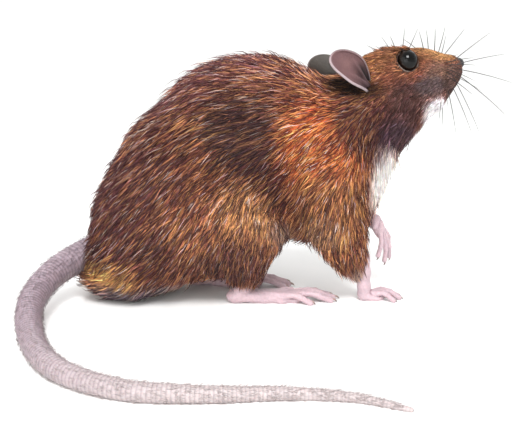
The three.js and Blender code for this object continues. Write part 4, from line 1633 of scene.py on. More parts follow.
@dataclass(frozen=True)
class Skin:
    """The one skin of the whole animal: body, head and feet from the field, ears and tail lofted on."""

    anatomy: Anatomy
    tail: Tail
    coarse_edge: float = 1.6  # mm, the longest edge on the body
    face_edge: float = 0.5
    fine_edge: float = 0.24  # at the eyes, nose, lips and toes

    def grid(self) -> list[np.ndarray]:
        """The stations of the grid: close over the face and near the floor, wider over the back."""
        return [
            stepped((-42.0, -14.0, 0.85), (-14.0, 41.0, 0.55), (41.0, 56.0, 0.38)),
            stepped((-20.0, -13.0, 0.7), (-13.0, 16.0, 0.38), (16.0, 20.0, 0.7)),
            stepped((-0.6, 7.4, 0.33), (7.4, 22.0, 0.6), (22.0, 44.0, 0.8), (44.0, 61.0, 0.5)),
        ]

    def edge_target(self, p: Points) -> Distances:
        """The longest edge that the skin may have: shortest at the eyes, nose, lips and toes.

        Args:
            p: places in mm.

        Returns:
            A length in mm for each place.
        """
        anatomy = self.anatomy
        face = smooth(p[:, 0], 30.0, 36.0) * smooth(p[:, 2], 40.0, 44.0)
        eye = smooth(anatomy.eye_gap(p), 4.6, 3.2)
        nose = smooth(anatomy.nose_gap(p), 6.0, 3.0)
        foot = smooth(anatomy.bare_feet(p), 0.8, 0.2)
        fine = np.maximum(np.maximum(eye, nose), foot * 0.93)
        return mix(mix(self.coarse_edge, self.face_edge, face), self.fine_edge, fine)

    def body(self) -> Shell:
        """The body, head and bare feet as one closed mesh."""
        form = self.anatomy.skin
        shell = netted(form, self.grid())
        shell.points = settled(form, shell.points, steps=3, reach=0.15)
        for _ in range(3):
            shell = refined(shell, self.edge_target)
            shell.points = settled(form, shell.points, steps=2, reach=0.12)
        shell.points[:, 2] = np.maximum(shell.points[:, 2], 0.0)
        return shell

    def bareness(self, p: Points) -> Distances:
        """1 on the bare feet and 0 under the coat, with a soft edge at wrists and ankles."""
        bare = smooth(self.anatomy.bare_feet(p) - self.anatomy.under_coat(p), 0.4, -0.9)
        return np.maximum(bare, self.anatomy.cuff(p))

    def dressed(self, shell: Shell) -> Shell:
        """Colours and finishes for the body's mesh, with painted shade under the coat, in the feet's
        hollows and round the eyeballs.

        Args:
            shell: the body's mesh.

        Returns:
            The same mesh.
        """
        anatomy, p = self.anatomy, shell.points
        bare, off = self.bareness(p), anatomy.off_gaze(p)
        # Painted shade: the bare feet go darker in the hollows between their toes and bones.
        paw = painted(linear("#c5acb3"), "#6b4d59", 0.92 * smooth(self.hollows(p), 0.1, 1.0))
        # Painted shade: the skin under the coat takes the markings at half brightness, so that the gaps
        # between the locks look shaded.
        colour = mix_rows(anatomy.markings.colour(p) * 0.5, paw, bare)
        below = smooth(anatomy.eyes[0, 2] - p[:, 2], -0.6, 1.2)
        colour = painted(colour, "#3a2c28", smooth(off, 2.95, 2.6))  # the lids
        colour = painted(colour, "#8f8078", smooth(off, 2.75, 2.6) * (0.1 + 0.6 * below))  # their edge
        # Painted shade: the socket's skin round the eyeball goes near black.
        colour = painted(colour, "#120d0c", smooth(off, 2.48, 2.42))  # the socket
        nose = smooth(anatomy.head.turned.moved(anatomy.head.nose_pad())(p), 0.5, 0.12)
        shell.colours = painted(colour, "#18131a", nose)
        shell.finishes = np.full(len(shell.faces), Finish.UNDER_COAT.value)
        shell.finishes[bare[shell.faces].mean(1) > 0.5] = Finish.PAW.value
        shell.finishes[nose[shell.faces].mean(1) > 0.5] = Finish.NOSE.value
        return shell

    def hollows(self, p: Points) -> Distances:
        """How deep each place on a foot lies between its toes and bones, for the painted shade there.

        Args:
            p: places in mm.

        Returns:
            A number from 0 to 1 for each place.
        """
        feet = self.anatomy.bare_feet
        around = sum(feet(p + step) for step in np.vstack([np.eye(3), -np.eye(3)]) * 0.35) / 6.0
        return np.clip(-(around - feet(p)) * 14.0 + 0.2, 0.0, 1.0)

    def whole(self, body: Shell) -> Shell:
        """The body's mesh with the ears and the tail."""
        ears = [ear.shell(self.anatomy.head) for ear in EARS]
        return Shell.together([body, *ears, self.tail.shell()])


# ---- finishes


def add_node(
    tree: bpy.types.NodeTree, kind: str, settings: dict | None = None, **links: object,
) -> bpy.types.Node:
    """Adds one shader node.

    Args:
        tree: the node tree.
        kind: the node's type without its ShaderNode prefix.
        settings: values for its sockets, or else for its own settings, by name.
        **links: an output for each socket, its name in lower case with _ for spaces.

    Returns:
        The node.
    """
    node = tree.nodes.new("ShaderNode" + kind)
    for name, value in (settings or {}).items():
        if name in node.inputs:
            node.inputs[name].default_value = value
        else:
            setattr(node, name, value)
    sockets = {socket.identifier.lower().replace(" ", "_"): socket for socket in node.inputs}
    sockets |= {socket.name.lower().replace(" ", "_"): socket for socket in reversed(list(node.inputs))}
    for name, output in links.items():
        tree.links.new(output, sockets[name])
    return node


def bare_material(name: str) -> bpy.types.Material:
    """A material whose node tree is still empty.

    Args:
        name: the material's name.

    Returns:
        The material.
    """
    material = bpy.data.materials.new(name)
    material.use_nodes = True
    material.node_tree.nodes.clear()
    return material


@dataclass(frozen=True)
class Grain:
    """A living surface: its colours come with the mesh, and its grain varies and roughens them."""

    name: str
    grain_mm: float  # size of the grain
    uneven: float  # how much the colour varies from grain to grain
    bump_mm: float  # how far the grain stands up
    roughness: tuple[float, float]
    ior: float = 1.45
    subsurface: float = 0.0
    scatter_mm: float = 0.8
    sheen: float = 0.0
    coat: float = 0.0
    coat_roughness: float = 0.03
    specular: float = 0.5
    pores_mm: float = 0.0  # spacing of pores or wrinkles, where it has them

    def material(self) -> bpy.types.Material:
        """The finish as a Blender material."""
        material = bare_material(self.name)
        tree = material.node_tree
        # The 'marking' attribute holds the mesh's colours, painted shade and painted highlight included.
        marking = add_node(tree, "Attribute", {"attribute_name": "marking"})
        place = add_node(tree, "TexCoord").outputs["Object"]
        grain = add_node(tree, "TexNoise", {
            "Scale": 1.0 / (self.grain_mm * MM), "Detail": 3.0, "Roughness": 0.6,
        }, vector=place).outputs["Fac"]
        cloud = add_node(tree, "TexNoise", {
            "Scale": 1.0 / (self.grain_mm * 9.0 * MM), "Detail": 2.0,
        }, vector=place).outputs["Fac"]
        both = add_node(tree, "Math", {"operation": "ADD"}, value=grain, value_001=cloud)
        vary, shift = self.uneven, self.uneven * 0.03
        bright = add_node(tree, "MapRange", {
            "From Min": 0.6, "From Max": 1.4, "To Min": 1.0 - vary, "To Max": 1.0 + vary,
        }, value=both.outputs["Value"])
        hue = add_node(tree, "MapRange", {
            "From Min": 0.3, "From Max": 0.7, "To Min": 0.5 - shift, "To Max": 0.5 + shift,
        }, value=cloud)
        colour = add_node(tree, "HueSaturation", color=marking.outputs["Color"],
                          value=bright.outputs["Result"], hue=hue.outputs["Result"])
        rough = add_node(tree, "MapRange", {
            "From Min": 0.3, "From Max": 0.7, "To Min": self.roughness[0], "To Max": self.roughness[1],
        }, value=grain)
        height = grain
        if self.pores_mm:
            pores = add_node(tree, "TexVoronoi", {
                "feature": "DISTANCE_TO_EDGE", "Scale": 1.0 / (self.pores_mm * MM),
            }, vector=place)
            wrinkles = add_node(tree, "MapRange", {"From Max": 0.25}, value=pores.outputs["Distance"])
            summed = add_node(
                tree, "Math", {"operation": "ADD"}, value=grain, value_001=wrinkles.outputs["Result"])
            height = summed.outputs["Value"]
        bump = add_node(tree, "Bump", {"Strength": 0.8, "Distance": self.bump_mm * MM}, height=height)
        shader = add_node(tree, "BsdfPrincipled", {
            "IOR": self.ior, "Subsurface Weight": self.subsurface,
            "Subsurface Radius": (1.0, 0.42, 0.3), "Subsurface Scale": self.scatter_mm * MM,
            "Sheen Weight": self.sheen, "Coat Weight": self.coat,
            "Coat Roughness": self.coat_roughness, "Specular IOR Level": self.specular,
        }, base_color=colour.outputs["Color"], roughness=rough.outputs["Result"],
            normal=bump.outputs["Normal"])
        add_node(tree, "OutputMaterial", surface=shader.outputs["BSDF"])
        return material


# Skin that the coat hides: matt, and dull between the roots of the hairs.
UNDER_COAT = Grain("skin under the coat", 0.4, 0.25, 0.05, (0.8, 0.95), specular=0.3)
# Bare skin of the feet: thin, moist and finely creased, so that light sinks in and comes out pink.
PAW_SKIN = Grain("bare skin of the feet", 0.6, 0.2, 0.09, (0.45, 0.65), subsurface=0.12, pores_mm=0.5)
# The tip of the nose: wet, dark and pebbled.
NOSE_SKIN = Grain(
    "moist skin of the nose", 0.25, 0.15, 0.06, (0.22, 0.4), coat=0.35, coat_roughness=0.2,
    pores_mm=0.26)
# Ear skin: a thin membrane with a fine down on it, which gives it a dull sheen at its edges.
EAR_SKIN = Grain(
    "downy skin of the ears", 0.3, 0.16, 0.04, (0.6, 0.75), subsurface=0.06, scatter_mm=0.5,
    sheen=0.04, specular=0.25, pores_mm=0.5)
# Tail skin: small horny scales, drier than the feet.
TAIL_SKIN = Grain(
    "scaly skin of the tail", 0.3, 0.1, 0.03, (0.45, 0.65), subsurface=0.1, scatter_mm=0.6, pores_mm=0.45)
# Hair is keratin with a smooth cuticle: a soft gloss along each lock.
COAT_HAIR = Grain("hair of the coat", 0.5, 0.16, 0.01, (0.5, 0.7), ior=1.55, specular=0.14, sheen=0.03)
FACE_HAIR = Grain(
    "short hair of the face", 0.4, 0.14, 0.01, (0.55, 0.75), ior=1.55, specular=0.12, sheen=0.03)
TAIL_HAIR = Grain("bristles of the tail", 0.5, 0.08, 0.005, (0.5, 0.65), ior=1.55, specular=0.3)
# A whisker is a stout hair with a polished cuticle.
WHISKER = Grain("whisker", 0.8, 0.06, 0.003, (0.3, 0.42), ior=1.55, specular=0.5)
# Claw: translucent horn, glossy along its back.
CLAW = Grain("horn of the claws", 0.3, 0.12, 0.01, (0.25, 0.4), ior=1.55, subsurface=0.15, scatter_mm=0.3)
# The eye: a dark iris that fills the lids, under a wet cornea.
EYE = Grain("wet black eye", 1.2, 0.08, 0.0, (0.03, 0.05), ior=1.38, specular=0.36)


# ---- mesh objects


def mesh_object(
    name: str, shell: Shell, materials: Sequence[bpy.types.Material], slot: str, shift: Points,
) -> bpy.types.Object:
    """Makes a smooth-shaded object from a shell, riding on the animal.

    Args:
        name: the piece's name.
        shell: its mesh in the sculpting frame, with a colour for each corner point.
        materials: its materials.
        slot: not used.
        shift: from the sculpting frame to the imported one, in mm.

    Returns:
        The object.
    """
    faces, colours = shell.faces, shell.colours
    mesh = bpy.data.meshes.new(name)
    mesh.vertices.add(len(shell.points))
    mesh.vertices.foreach_set("co", ((shell.points + shift) * MM).astype(np.float32).ravel())
    mesh.loops.add(faces.size)
    mesh.loops.foreach_set("vertex_index", faces.astype(np.int32).ravel())
    mesh.polygons.add(len(faces))
    mesh.polygons.foreach_set("loop_start", np.arange(0, faces.size, 3, dtype=np.int32))
    if shell.finishes is not None:
        mesh.polygons.foreach_set("material_index", shell.finishes.astype(np.int32))
    mesh.polygons.foreach_set("use_smooth", np.ones(len(faces), bool))
    if shell.patches is not None:
        layer = mesh.uv_layers.new(name="OFBake")
        layer.data.foreach_set("uv", shell.patches.astype(np.float32).ravel())
    # The 'marking' attribute holds each corner's colour, painted shade and painted highlight included.
    layer = mesh.color_attributes.new(name="marking", type="FLOAT_COLOR", domain="POINT")
    opaque = np.column_stack((colours, np.ones(len(colours))))
    layer.data.foreach_set("color", opaque.astype(np.float32).ravel())
    for material in materials:
        mesh.materials.append(material)
    mesh.update(calc_edges=True)
    piece = bpy.data.objects.new(name, mesh)
    bpy.context.scene.collection.objects.link(piece)
    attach(piece, "root")
    log.info("%s: %d triangles", name, len(faces))
    return piece


# ---- hairs and locks


def hair_shell(
    spines: np.ndarray, upwards: Points, widths: np.ndarray, colours: np.ndarray,
    flat: float = 0.6,
) -> Shell:
    """Closed three-sided hairs, pointed at both ends.

    Args:
        spines: for each hair, its places from root to tip.
        upwards: for each hair, the direction away from the skin.
        widths: for each hair, its width at each place between root and tip.
        colours: for each hair, its colour at each place of the spine.
        flat: how high a hair is for its width.

    Returns:
        All the hairs as one mesh; each hair's corners follow each other.
    """
    count, places, _ = spines.shape
    rings = places - 2
    corners = np.empty((count, 2 + 3 * rings, 3))
    corner_colours = np.empty_like(corners)
    corners[:, 0], corners[:, -1] = spines[:, 0], spines[:, -1]
    corner_colours[:, 0], corner_colours[:, -1] = colours[:, 0], colours[:, -1]
    for ring in range(rings):
        along = unit(spines[:, ring + 2] - spines[:, ring])
        side = unit(np.cross(along, upwards))
        up = np.cross(side, along)
        width = widths[:, ring, None]
        middle = spines[:, ring + 1]
        start = 1 + 3 * ring
        corners[:, start] = middle - side * width / 2
        corners[:, start + 1] = middle + side * width / 2
        corners[:, start + 2] = middle + up * width * flat
        corner_colours[:, start:start + 3] = colours[:, ring + 1, None]
    pattern = hair_faces(rings)
    faces = (np.arange(count)[:, None, None] * corners.shape[1] + pattern).reshape(-1, 3)
    return Shell(corners.reshape(-1, 3), faces, corner_colours.reshape(-1, 3))


def hair_faces(rings: int) -> np.ndarray:
    """The triangles of one hair with so many rings between its root and its tip.

    Args:
        rings: how many rings.

    Returns:
        Three corner numbers for each triangle.
    """
    faces = []
    tip = 1 + 3 * rings
    for side in range(3):
        a, b = 1 + side, 1 + (side + 1) % 3
        faces.append((0, a, b))
        for ring in range(rings - 1):
            p, q = a + 3 * ring, b + 3 * ring
            faces += [(p, p + 3, q + 3), (p, q + 3, q)]
        faces.append((tip, b + 3 * (rings - 1), a + 3 * (rings - 1)))
    return np.array(faces)


def hair_patch(rings: int) -> np.ndarray:
    """The place of each face corner of one hair in a unit square, one strip for each side.

    Args:
        rings: how many rings.

    Returns:
        A row for each corner of each triangle.
    """
    rows = np.linspace(0.0, 1.0, rings + 2)
    places = []
    for side in range(3):
        left, right, middle = side / 3, (side + 1) / 3, (side + 0.5) / 3
        places += [(middle, 0.0), (left, rows[1]), (right, rows[1])]
        for ring in range(1, rings):
            low, high = rows[ring], rows[ring + 1]
            places += [(left, low), (left, high), (right, high), (left, low), (right, high), (right, low)]
        places += [(middle, 1.0), (right, rows[-2]), (left, rows[-2])]
    return np.array(places)


@dataclass(frozen=True)
class Unwrap:
    """Lays the skin out flat by its own shape: along the spine one way, round the body the other.

    The right side of the body fills one band of the square and the left side another, and the four
    lower legs fill a third, each in a field of its own.
    """

    anatomy: Anatomy
    spine: tuple[tuple[float, float], ...] = (
        (-36, 6), (-27, 17), (-16, 26), (-2, 33), (10, 35), (20, 38), (29, 46), (38, 50.5), (53, 54))
    band: float = 0.365  # height of the band of one side of the body
    leg_band: tuple[float, float] = (0.76, 0.985)
    leg_start: float = 0.15  # a leg's field starts this share of the way down from the knee or the elbow
    leg_share: float = 1.3  # and is so long, over the length of that way
    leg_reach: float = 7.0  # mm from its bone
    margin: float = 0.01

    def body(self, p: Points, side: np.ndarray) -> np.ndarray:
        """Texture places for the body: u along the spine, v round it from the top.

        Args:
            p: places in mm.
            side: -1 for the right side and 1 for the left, for each place.

        Returns:
            A texture place for each place.
        """
        q = self.anatomy.markings.straight(p)
        knots = np.array(self.spine, float)
        best = np.full(len(p), np.inf)
        station, height = np.zeros(len(p)), np.zeros(len(p))
        runs = np.append(0.0, np.cumsum(np.hypot(*np.diff(knots, axis=0).T)))
        flat = q[:, [0, 2]]
        for a, b, start in zip(knots, knots[1:], runs):
            run = np.hypot(*(b - a))
            axis = (b - a) / run
            along = np.clip((flat - a) @ axis, 0, run)
            gap = flat - a - along[:, None] * axis
            size = np.hypot(*gap.T)
            closer = size < best
            best = np.where(closer, size, best)
            station = np.where(closer, start + along, station)
            height = np.where(closer, gap @ (-axis[1], axis[0]), height)
        round_share = np.arctan2(q[:, 1], height) / math.pi
        low = np.where(side < 0, self.margin, self.margin + self.band + 0.01)
        return np.column_stack((
            self.margin + (1 - 2 * self.margin) * station / runs[-1],
            low + self.band * np.clip(round_share, 0, 1) * 0.97,
        ))

    def places(self, p: Points) -> np.ndarray:
        """The texture place of each place on the skin.

        Args:
            p: places in mm.

        Returns:
            A texture place for each place.
        """
        over = np.where(p[:, 0] > 30, self.anatomy.head.turned.back(p)[:, 1], p[:, 1])
        uv = self.body(p, np.sign(over))
        fields = [(leg, part) for leg in LEGS.values() for part in ("hind", "fore")]
        for number, (leg, part) in enumerate(fields):
            top, foot = (leg.knee, leg.ankle) if part == "hind" else (leg.elbow, leg.wrist)
            axis = foot - top
            along = (p - top) @ axis / (axis @ axis)
            gap = p - top - along[:, None] * axis
            on_leg = (along > self.leg_start) & (length_of(gap) < self.leg_reach) & (p[:, 1] * top[1] > 0)
            turn = np.arctan2(gap @ unit(np.cross(axis, (1, 0, 0))), gap[:, 0]) / (2 * math.pi) + 0.5
            u = (number + 0.04 + 0.92 * np.clip(turn, 0, 1)) / len(fields)
            v = mix(*self.leg_band, np.clip((along - self.leg_start) / self.leg_share, 0, 1))
            uv = np.where(on_leg[:, None], np.column_stack((u, v)), uv)
        return uv


@dataclass(frozen=True)
class Tone:
    """How one kind of lock takes its colour from the markings."""

    tint: str  # the colour it leans to
    lean: float  # how far, from 0 to 1
    bright: float = 1.0
    spread: float = 0.2  # how much the locks differ in brightness
    root: float = 0.5  # how dark a lock is at its root
    tip: float = 1.08
    follow: float = 0.75  # how far its tint follows the lightness of the markings
    cling: float = 0.3  # the least share of its lean, where the markings are grey
    full_warmth: float = 0.43  # red over blue, as a share of the light, where it leans all the way

    def colours(self, marking: np.ndarray, places: int, rng: np.random.Generator) -> np.ndarray:
        """Colours for each place along each lock.

        Args:
            marking: the coat's colour at each root.
            places: how many places each lock has.
            rng: the source of chance.

        Returns:
            Linear colours, one row of places for each lock.
        """
        count = len(marking)
        lightness = (marking.sum(1) / linear(Markings.ground).sum()) ** self.follow
        warmth = (marking[:, 0] - marking[:, 2]) / marking.sum(1) / self.full_warmth
        lean = self.lean * np.clip(warmth, self.cling, 1.0)
        own = mix_rows(marking, linear(self.tint) * lightness[:, None], lean)
        own = own * self.bright * np.exp(rng.normal(0.0, self.spread, (count, 1)))
        own = own * np.exp(rng.normal(0.0, 0.05, (count, 3)))
        steps = np.interp(np.linspace(0, 1, places), (0.0, 0.45, 1.0), (self.root, 1.0, self.tip))
        return np.clip(own[:, None, :] * steps[None, :, None], 0.0, 1.0)


class Region(Enum):
    """Where a kind of lock grows."""

    BODY = "body"
    BACK = "back"
    FACE = "face"
    FACE_DARK = "the face but for its white chin"


@dataclass(frozen=True)
class Lock:
    """One kind of lock of hair, and how it stands in the coat."""

    name: str
    region: Region
    pieces: int
    count: int  # in each piece
    rings: int
    stretch: float  # its length over the coat's usual length there
    width: float  # mm where it is widest, on hair 5 mm long
    stand: tuple[float, float]  # how high its tip stands, over the coat's depth
    stray: float  # degrees by which it may point aside
    tone: Tone
    slot: str = "coat"


LOCKS = (
    Lock("coat_ground", Region.BODY, 4, 32000, 1, 0.95, 0.26, (0.45, 1.05), 9.0,
         Tone("#9a5f40", 0.1, 1.24, 0.34, 0.42)),
    Lock("coat_dark", Region.BACK, 1, 15500, 2, 1.12, 0.23, (0.8, 1.5), 9.0,
         Tone("#2d161a", 0.78, 1.1, 0.3, 0.7, 0.9, cling=0.9)),
    Lock("coat_bright", Region.BODY, 1, 28000, 1, 1.0, 0.22, (0.75, 1.35), 11.0,
         Tone("#d0945a", 0.5, 1.3, 0.22, 0.5, 1.15)),
    Lock("coat_pale", Region.BACK, 1, 3200, 2, 0.95, 0.1, (0.95, 1.5), 9.0,
         Tone("#e6ccc6", 0.75, 1.05, 0.2, 0.6, 1.05)),
    Lock("coat_face", Region.FACE, 1, 27000, 1, 1.2, 0.35, (0.5, 1.15), 12.0,
         Tone("#9a6544", 0.05, 1.05, 0.4, 0.28), slot="face"),
    Lock("coat_face_dark", Region.FACE_DARK, 1, 7500, 1, 1.2, 0.26, (0.7, 1.3), 12.0,
         Tone("#33211f", 0.7, 1.0, 0.25, cling=0.9), slot="face"),
)


@dataclass
class Coat:
    """Grows the locks of the coat out of the skin."""

    anatomy: Anatomy
    skin: Shell  # the body's mesh, without ears and tail
    root_depth: float = 0.25  # how deep a lock is rooted, mm
    spring: float = 0.55  # how far a lock keeps to its way where the body curves off from it
    patch: float = 0.003  # width of a lock's patch on the unwrap
    unruly: float = 0.17  # how far a few locks stand off, over their length
    usual_length: float = 5.0
    floor_gap: float = 0.25  # how far locks end above the floor
    gaze_clear: float = 2.58  # how far they stay from the eyes' lines of sight
    ear_clear: float = 0.75  # how far they stay from an ear's leaf
    ear_root: float = 2.6  # but for this length at its root

    def __post_init__(self) -> None:
        """Works out where locks can be rooted."""
        self.unwrap = Unwrap(self.anatomy)
        self.slopes, self.areas = self.skin.face_slopes()
        self.middles = self.skin.points[self.skin.faces].mean(1)
        self.normals = self.corner_normals()
        self.open = self.openness(self.middles)
        self.straight = self.anatomy.markings.straight(self.middles)

    def corner_normals(self) -> Points:
        """The skin's outward direction at each of its corner points."""
        normals = np.zeros_like(self.skin.points)
        for corner in range(3):
            np.add.at(normals, self.skin.faces[:, corner], self.slopes * self.areas[:, None])
        return unit(normals)

    def openness(self, p: Points) -> Distances:
        """1 where hair grows, 0 on the feet, lids, nose and lips.

        Args:
            p: places in mm.

        Returns:
            A number from 0 to 1 for each place.
        """
        anatomy = self.anatomy
        bare = smooth(anatomy.bare_feet(p) - anatomy.under_coat(p), 0.25, -0.25)
        eye = smooth(anatomy.off_gaze(p), 2.6, 2.72) * smooth(anatomy.eye_gap(p), 2.62, 2.72)
        face = anatomy.head.turned.back(p)
        nose = smooth(anatomy.head.nose_pad()(face), 0.1, 0.4)
        return (1 - bare) * (1 - anatomy.cuff(p)) * eye * nose * (p[:, 2] > 0.3)

    def facing(self, q: Points) -> Distances:
        """1 on the face, 0 on the body, for places with the head straight."""
        return smooth(q[:, 0], 29.0, 34.0) * smooth(q[:, 2], 38.0, 43.0)

    def density(self, region: Region) -> Distances:
        """How many locks of a region grow from each face of the skin, next to the others.

        Args:
            region: where the locks grow.

        Returns:
            A weight for each face of the skin.
        """
        q, off = self.straight, self.anatomy.markings.off
        _, length = self.anatomy.lie.depth_and_length(self.middles)
        thick = self.areas * self.open * (3.0 / (length + 0.6)) ** 1.2
        face = self.facing(q)
        if region is Region.FACE:
            return thick * face
        if region is Region.FACE_DARK:
            return thick * face * smooth(off("chin", q), 0.7, 1.2)
        if region is Region.BACK:
            white = smooth(off("chest", q), 0.7, 1.2)
            belly = smooth(q[:, 2], 13.0, 18.0) + smooth(q[:, 0], -14.0, -20.0) + smooth(q[:, 1], 6.5, 9.0)
            tan = smooth(off("under the tail", q), 0.2, 1.1)
            return self.areas * self.open * (1 - face) * white * tan * np.clip(belly, 0, 1)
        return thick * (1 - face)

    def roots(self, region: Region, count: int, rng: np.random.Generator) -> tuple[Points, Points]:
        """Places on the skin for so many locks, and the outward directions there.

        Args:
            region: where the locks grow.
            count: how many locks.
            rng: the source of chance.

        Returns:
            The places and the directions.
        """
        reach = np.cumsum(self.density(region))
        spots = (np.arange(count) + rng.random(count)) / count * reach[-1]
        face = np.minimum(np.searchsorted(reach, spots), len(reach) - 1)
        a, b = rng.random((2, count))
        over = a + b > 1
        a, b = np.where(over, 1 - a, a), np.where(over, 1 - b, b)
        shares = np.column_stack((1 - a - b, a, b))[:, :, None]
        corners = self.skin.faces[face]
        return (self.skin.points[corners] * shares).sum(1), unit((self.normals[corners] * shares).sum(1))

    def grown(self, lock: Lock, rng: np.random.Generator) -> Shell:
        """Grows one piece of one kind of lock.

        Args:
            lock: the kind.
            rng: the source of chance.

        Returns:
            The locks' mesh, with its texture places.
        """
        anatomy, count = self.anatomy, lock.count
        roots, out = self.roots(lock.region, count, rng)
        depth, length = anatomy.lie.depth_and_length(roots)
        way = anatomy.lie.direction(roots)
        away = np.maximum((way * out).sum(1), 0.0) * smooth(out[:, 2], 0.15, -0.3)
        way = unit(way - out * (way * out).sum(1)[:, None])
        aside = np.radians(rng.normal(0.0, lock.stray, count))[:, None]
        way = way * np.cos(aside) + np.cross(out, way) * np.sin(aside)
        length = length * lock.stretch * rng.uniform(0.75, 1.2, count)
        spring = self.unruly * np.minimum(length / self.usual_length, 1.0) * rng.random(count) ** 4
        spring = spring + self.spring * away * (0.2 + 0.8 * rng.random(count))
        tip_height = depth * rng.uniform(*lock.stand, count) + length * spring
        base = anatomy.outline(roots)
        spine = [roots - out * self.root_depth]
        inner = [0.4] if lock.rings == 1 else list(np.linspace(0, 1, lock.rings + 2)[1:-1])
        for share in [*inner, 1.0]:
            height = tip_height * (1 - (1 - share) ** 2)
            place = roots + way * (length * share)[:, None] + out * height[:, None]
            spine.append(settled(anatomy.outline, place, base + height, steps=2, reach=3.0))
        spines = np.stack(spine, axis=1)
        keep = self.clear(spines)
        spines, out, length, roots = spines[keep], out[keep], length[keep], roots[keep]
        spines[:, :, 2] = np.maximum(spines[:, :, 2], self.floor_gap)
        size = lock.width * (0.35 + 0.65 * np.minimum(length / self.usual_length, 1.3))
        taper = (1.0,) if lock.rings == 1 else (1.0, 0.8)
        widths = size[:, None] * np.array(taper) * rng.uniform(0.75, 1.25, (len(size), 1))
        marking = anatomy.markings.colour(roots)
        shell = hair_shell(spines, out, widths, lock.tone.colours(marking, spines.shape[1], rng))
        patch = (hair_patch(lock.rings) - 0.5) * self.patch
        shell.patches = (self.unwrap.places(roots)[:, None, :] + patch).reshape(-1, 2)
        return shell

    def clear(self, spines: np.ndarray) -> np.ndarray:
        """Which locks stay clear of the eyes and of the ears' leaves.

        Args:
            spines: for each lock, its places from root to tip.

        Returns:
            True for each that stays.
        """
        anatomy, head = self.anatomy, self.anatomy.head
        keep = np.ones(len(spines), bool)
        for step in range(1, spines.shape[1]):
            p = spines[:, step]
            keep &= anatomy.off_gaze(p) > self.gaze_clear
            close = np.nonzero((p[:, 0] > 10) & (p[:, 2] > 44))[0]
            for ear in EARS:
                gap = ear.gap(head, p[close])
                above = ear.placing(head).back(p[close])[:, 0] > self.ear_root
                keep[close[(gap < self.ear_clear) & above]] = False
        return keep

    def pieces(self, shift: Points) -> None:
        """Grows every kind of lock and puts it on the animal.

        Args:
            shift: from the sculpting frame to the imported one, in mm.
        """
        materials = {"coat": COAT_HAIR.material(), "face": FACE_HAIR.material()}
        for number, lock in enumerate(LOCKS):
            for piece in range(lock.pieces):
                rng = np.random.default_rng(1000 * (number + 1) + piece)
                name = lock.name if lock.pieces == 1 else f"{lock.name}_{piece + 1}"
                mesh_object(name, self.grown(lock, rng), [materials[lock.slot]], lock.slot, shift)


# ---- eyes, claws, whiskers and bristles


SWEPT_FROM = at(0.0, 0.31, 0.95)  # a tube's rings start at right angles to this and to its line


def swept(points: Points, radii: Sequence[float], sides: int = 10, smoothing: int = 4) -> Shell:
    """A closed round tube through a few points, for a claw.

    Args:
        points: its middle line.
        radii: its radius at each point.
        sides: how many sides it has.
        smoothing: how many rings lie between two points.

    Returns:
        The tube, without colours.
    """
    knots = np.arange(len(points))
    fine = np.linspace(0, len(points) - 1, (len(points) - 1) * smoothing + 1)
    line = np.column_stack([np.interp(fine, knots, points[:, i]) for i in range(3)])
    for _ in range(smoothing):
        line[1:-1] = (line[:-2] + 2 * line[1:-1] + line[2:]) / 4
    radius = np.interp(fine, knots, radii)
    along = unit(np.gradient(line, axis=0))
    side = unit(np.cross(along, SWEPT_FROM))
    up = np.cross(side, along)
    angle = np.arange(sides) * 2 * math.pi / sides
    ring = side[:, None] * np.cos(angle)[:, None] + up[:, None] * np.sin(angle)[:, None]
    corners = (line[:, None] + ring * radius[:, None, None]).reshape(-1, 3)
    return Shell(np.vstack([corners, line[[0, -1]]]), capped_faces(len(line), sides))


@dataclass(frozen=True)
class Eyes:
    """The two eyeballs, set in their sockets."""

    rings: int = 48
    spokes: int = 64

    def pieces(self, anatomy: Anatomy, shift: Points) -> None:
        """Puts each eyeball in its socket.

        Args:
            anatomy: the animal's fields.
            shift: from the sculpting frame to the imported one, in mm.
        """
        material, ball = EYE.material(), unit_ball(self.rings, self.spokes)
        faces = capped_faces(self.rings - 1, self.spokes)
        for (name, side), seat in zip(SIDES.items(), anatomy.eyes):
            ahead = ball @ anatomy.head.gaze_of(side)
            colours = painted(linear("#0d0806"), "#020202", smooth(ahead, 0.62, 0.8))
            colours = painted(colours, "#1d120d", 0.6 * bell(ahead, 0.55, 0.09))
            shell = Shell(seat + ball * anatomy.head.eye_radius, faces, colours)
            piece = mesh_object("eyeball_" + name, shell, [material], "eye", shift)
            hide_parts("eye_" + name)


class Claws:
    """Short curved claws of horn at the tips of the toes."""

    @staticmethod
    def claw(points: Points, radii: Sequence[float]) -> Shell:
        """One claw, darker towards its tip.

        Args:
            points: the claw's middle line.
            radii: its radius at each point.

        Returns:
            The claw, with its colours.
        """
        shell = swept(points, radii)
        reach = np.append(np.linspace(0, 1, len(shell.points) - 2), (0.0, 1.0))
        shell.colours = painted(linear("#a78d86"), "#4d3f3d", smooth(reach, 0.25, 0.95))
        shell.finishes = np.zeros(len(shell.faces), int)
        return shell

    def pieces(self, anatomy: Anatomy, shift: Points) -> None:
        """Puts a claw on every toe, as one piece for each foot.

        Args:
            anatomy: the animal's fields.
            shift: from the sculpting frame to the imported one, in mm.
        """
        material = CLAW.material()
        for foot in anatomy.feet:
            shell = Shell.together([self.claw(points, radii) for points, radii in foot.claws()])
            mesh_object("claws_" + foot.name, shell, [material], "nose", shift)


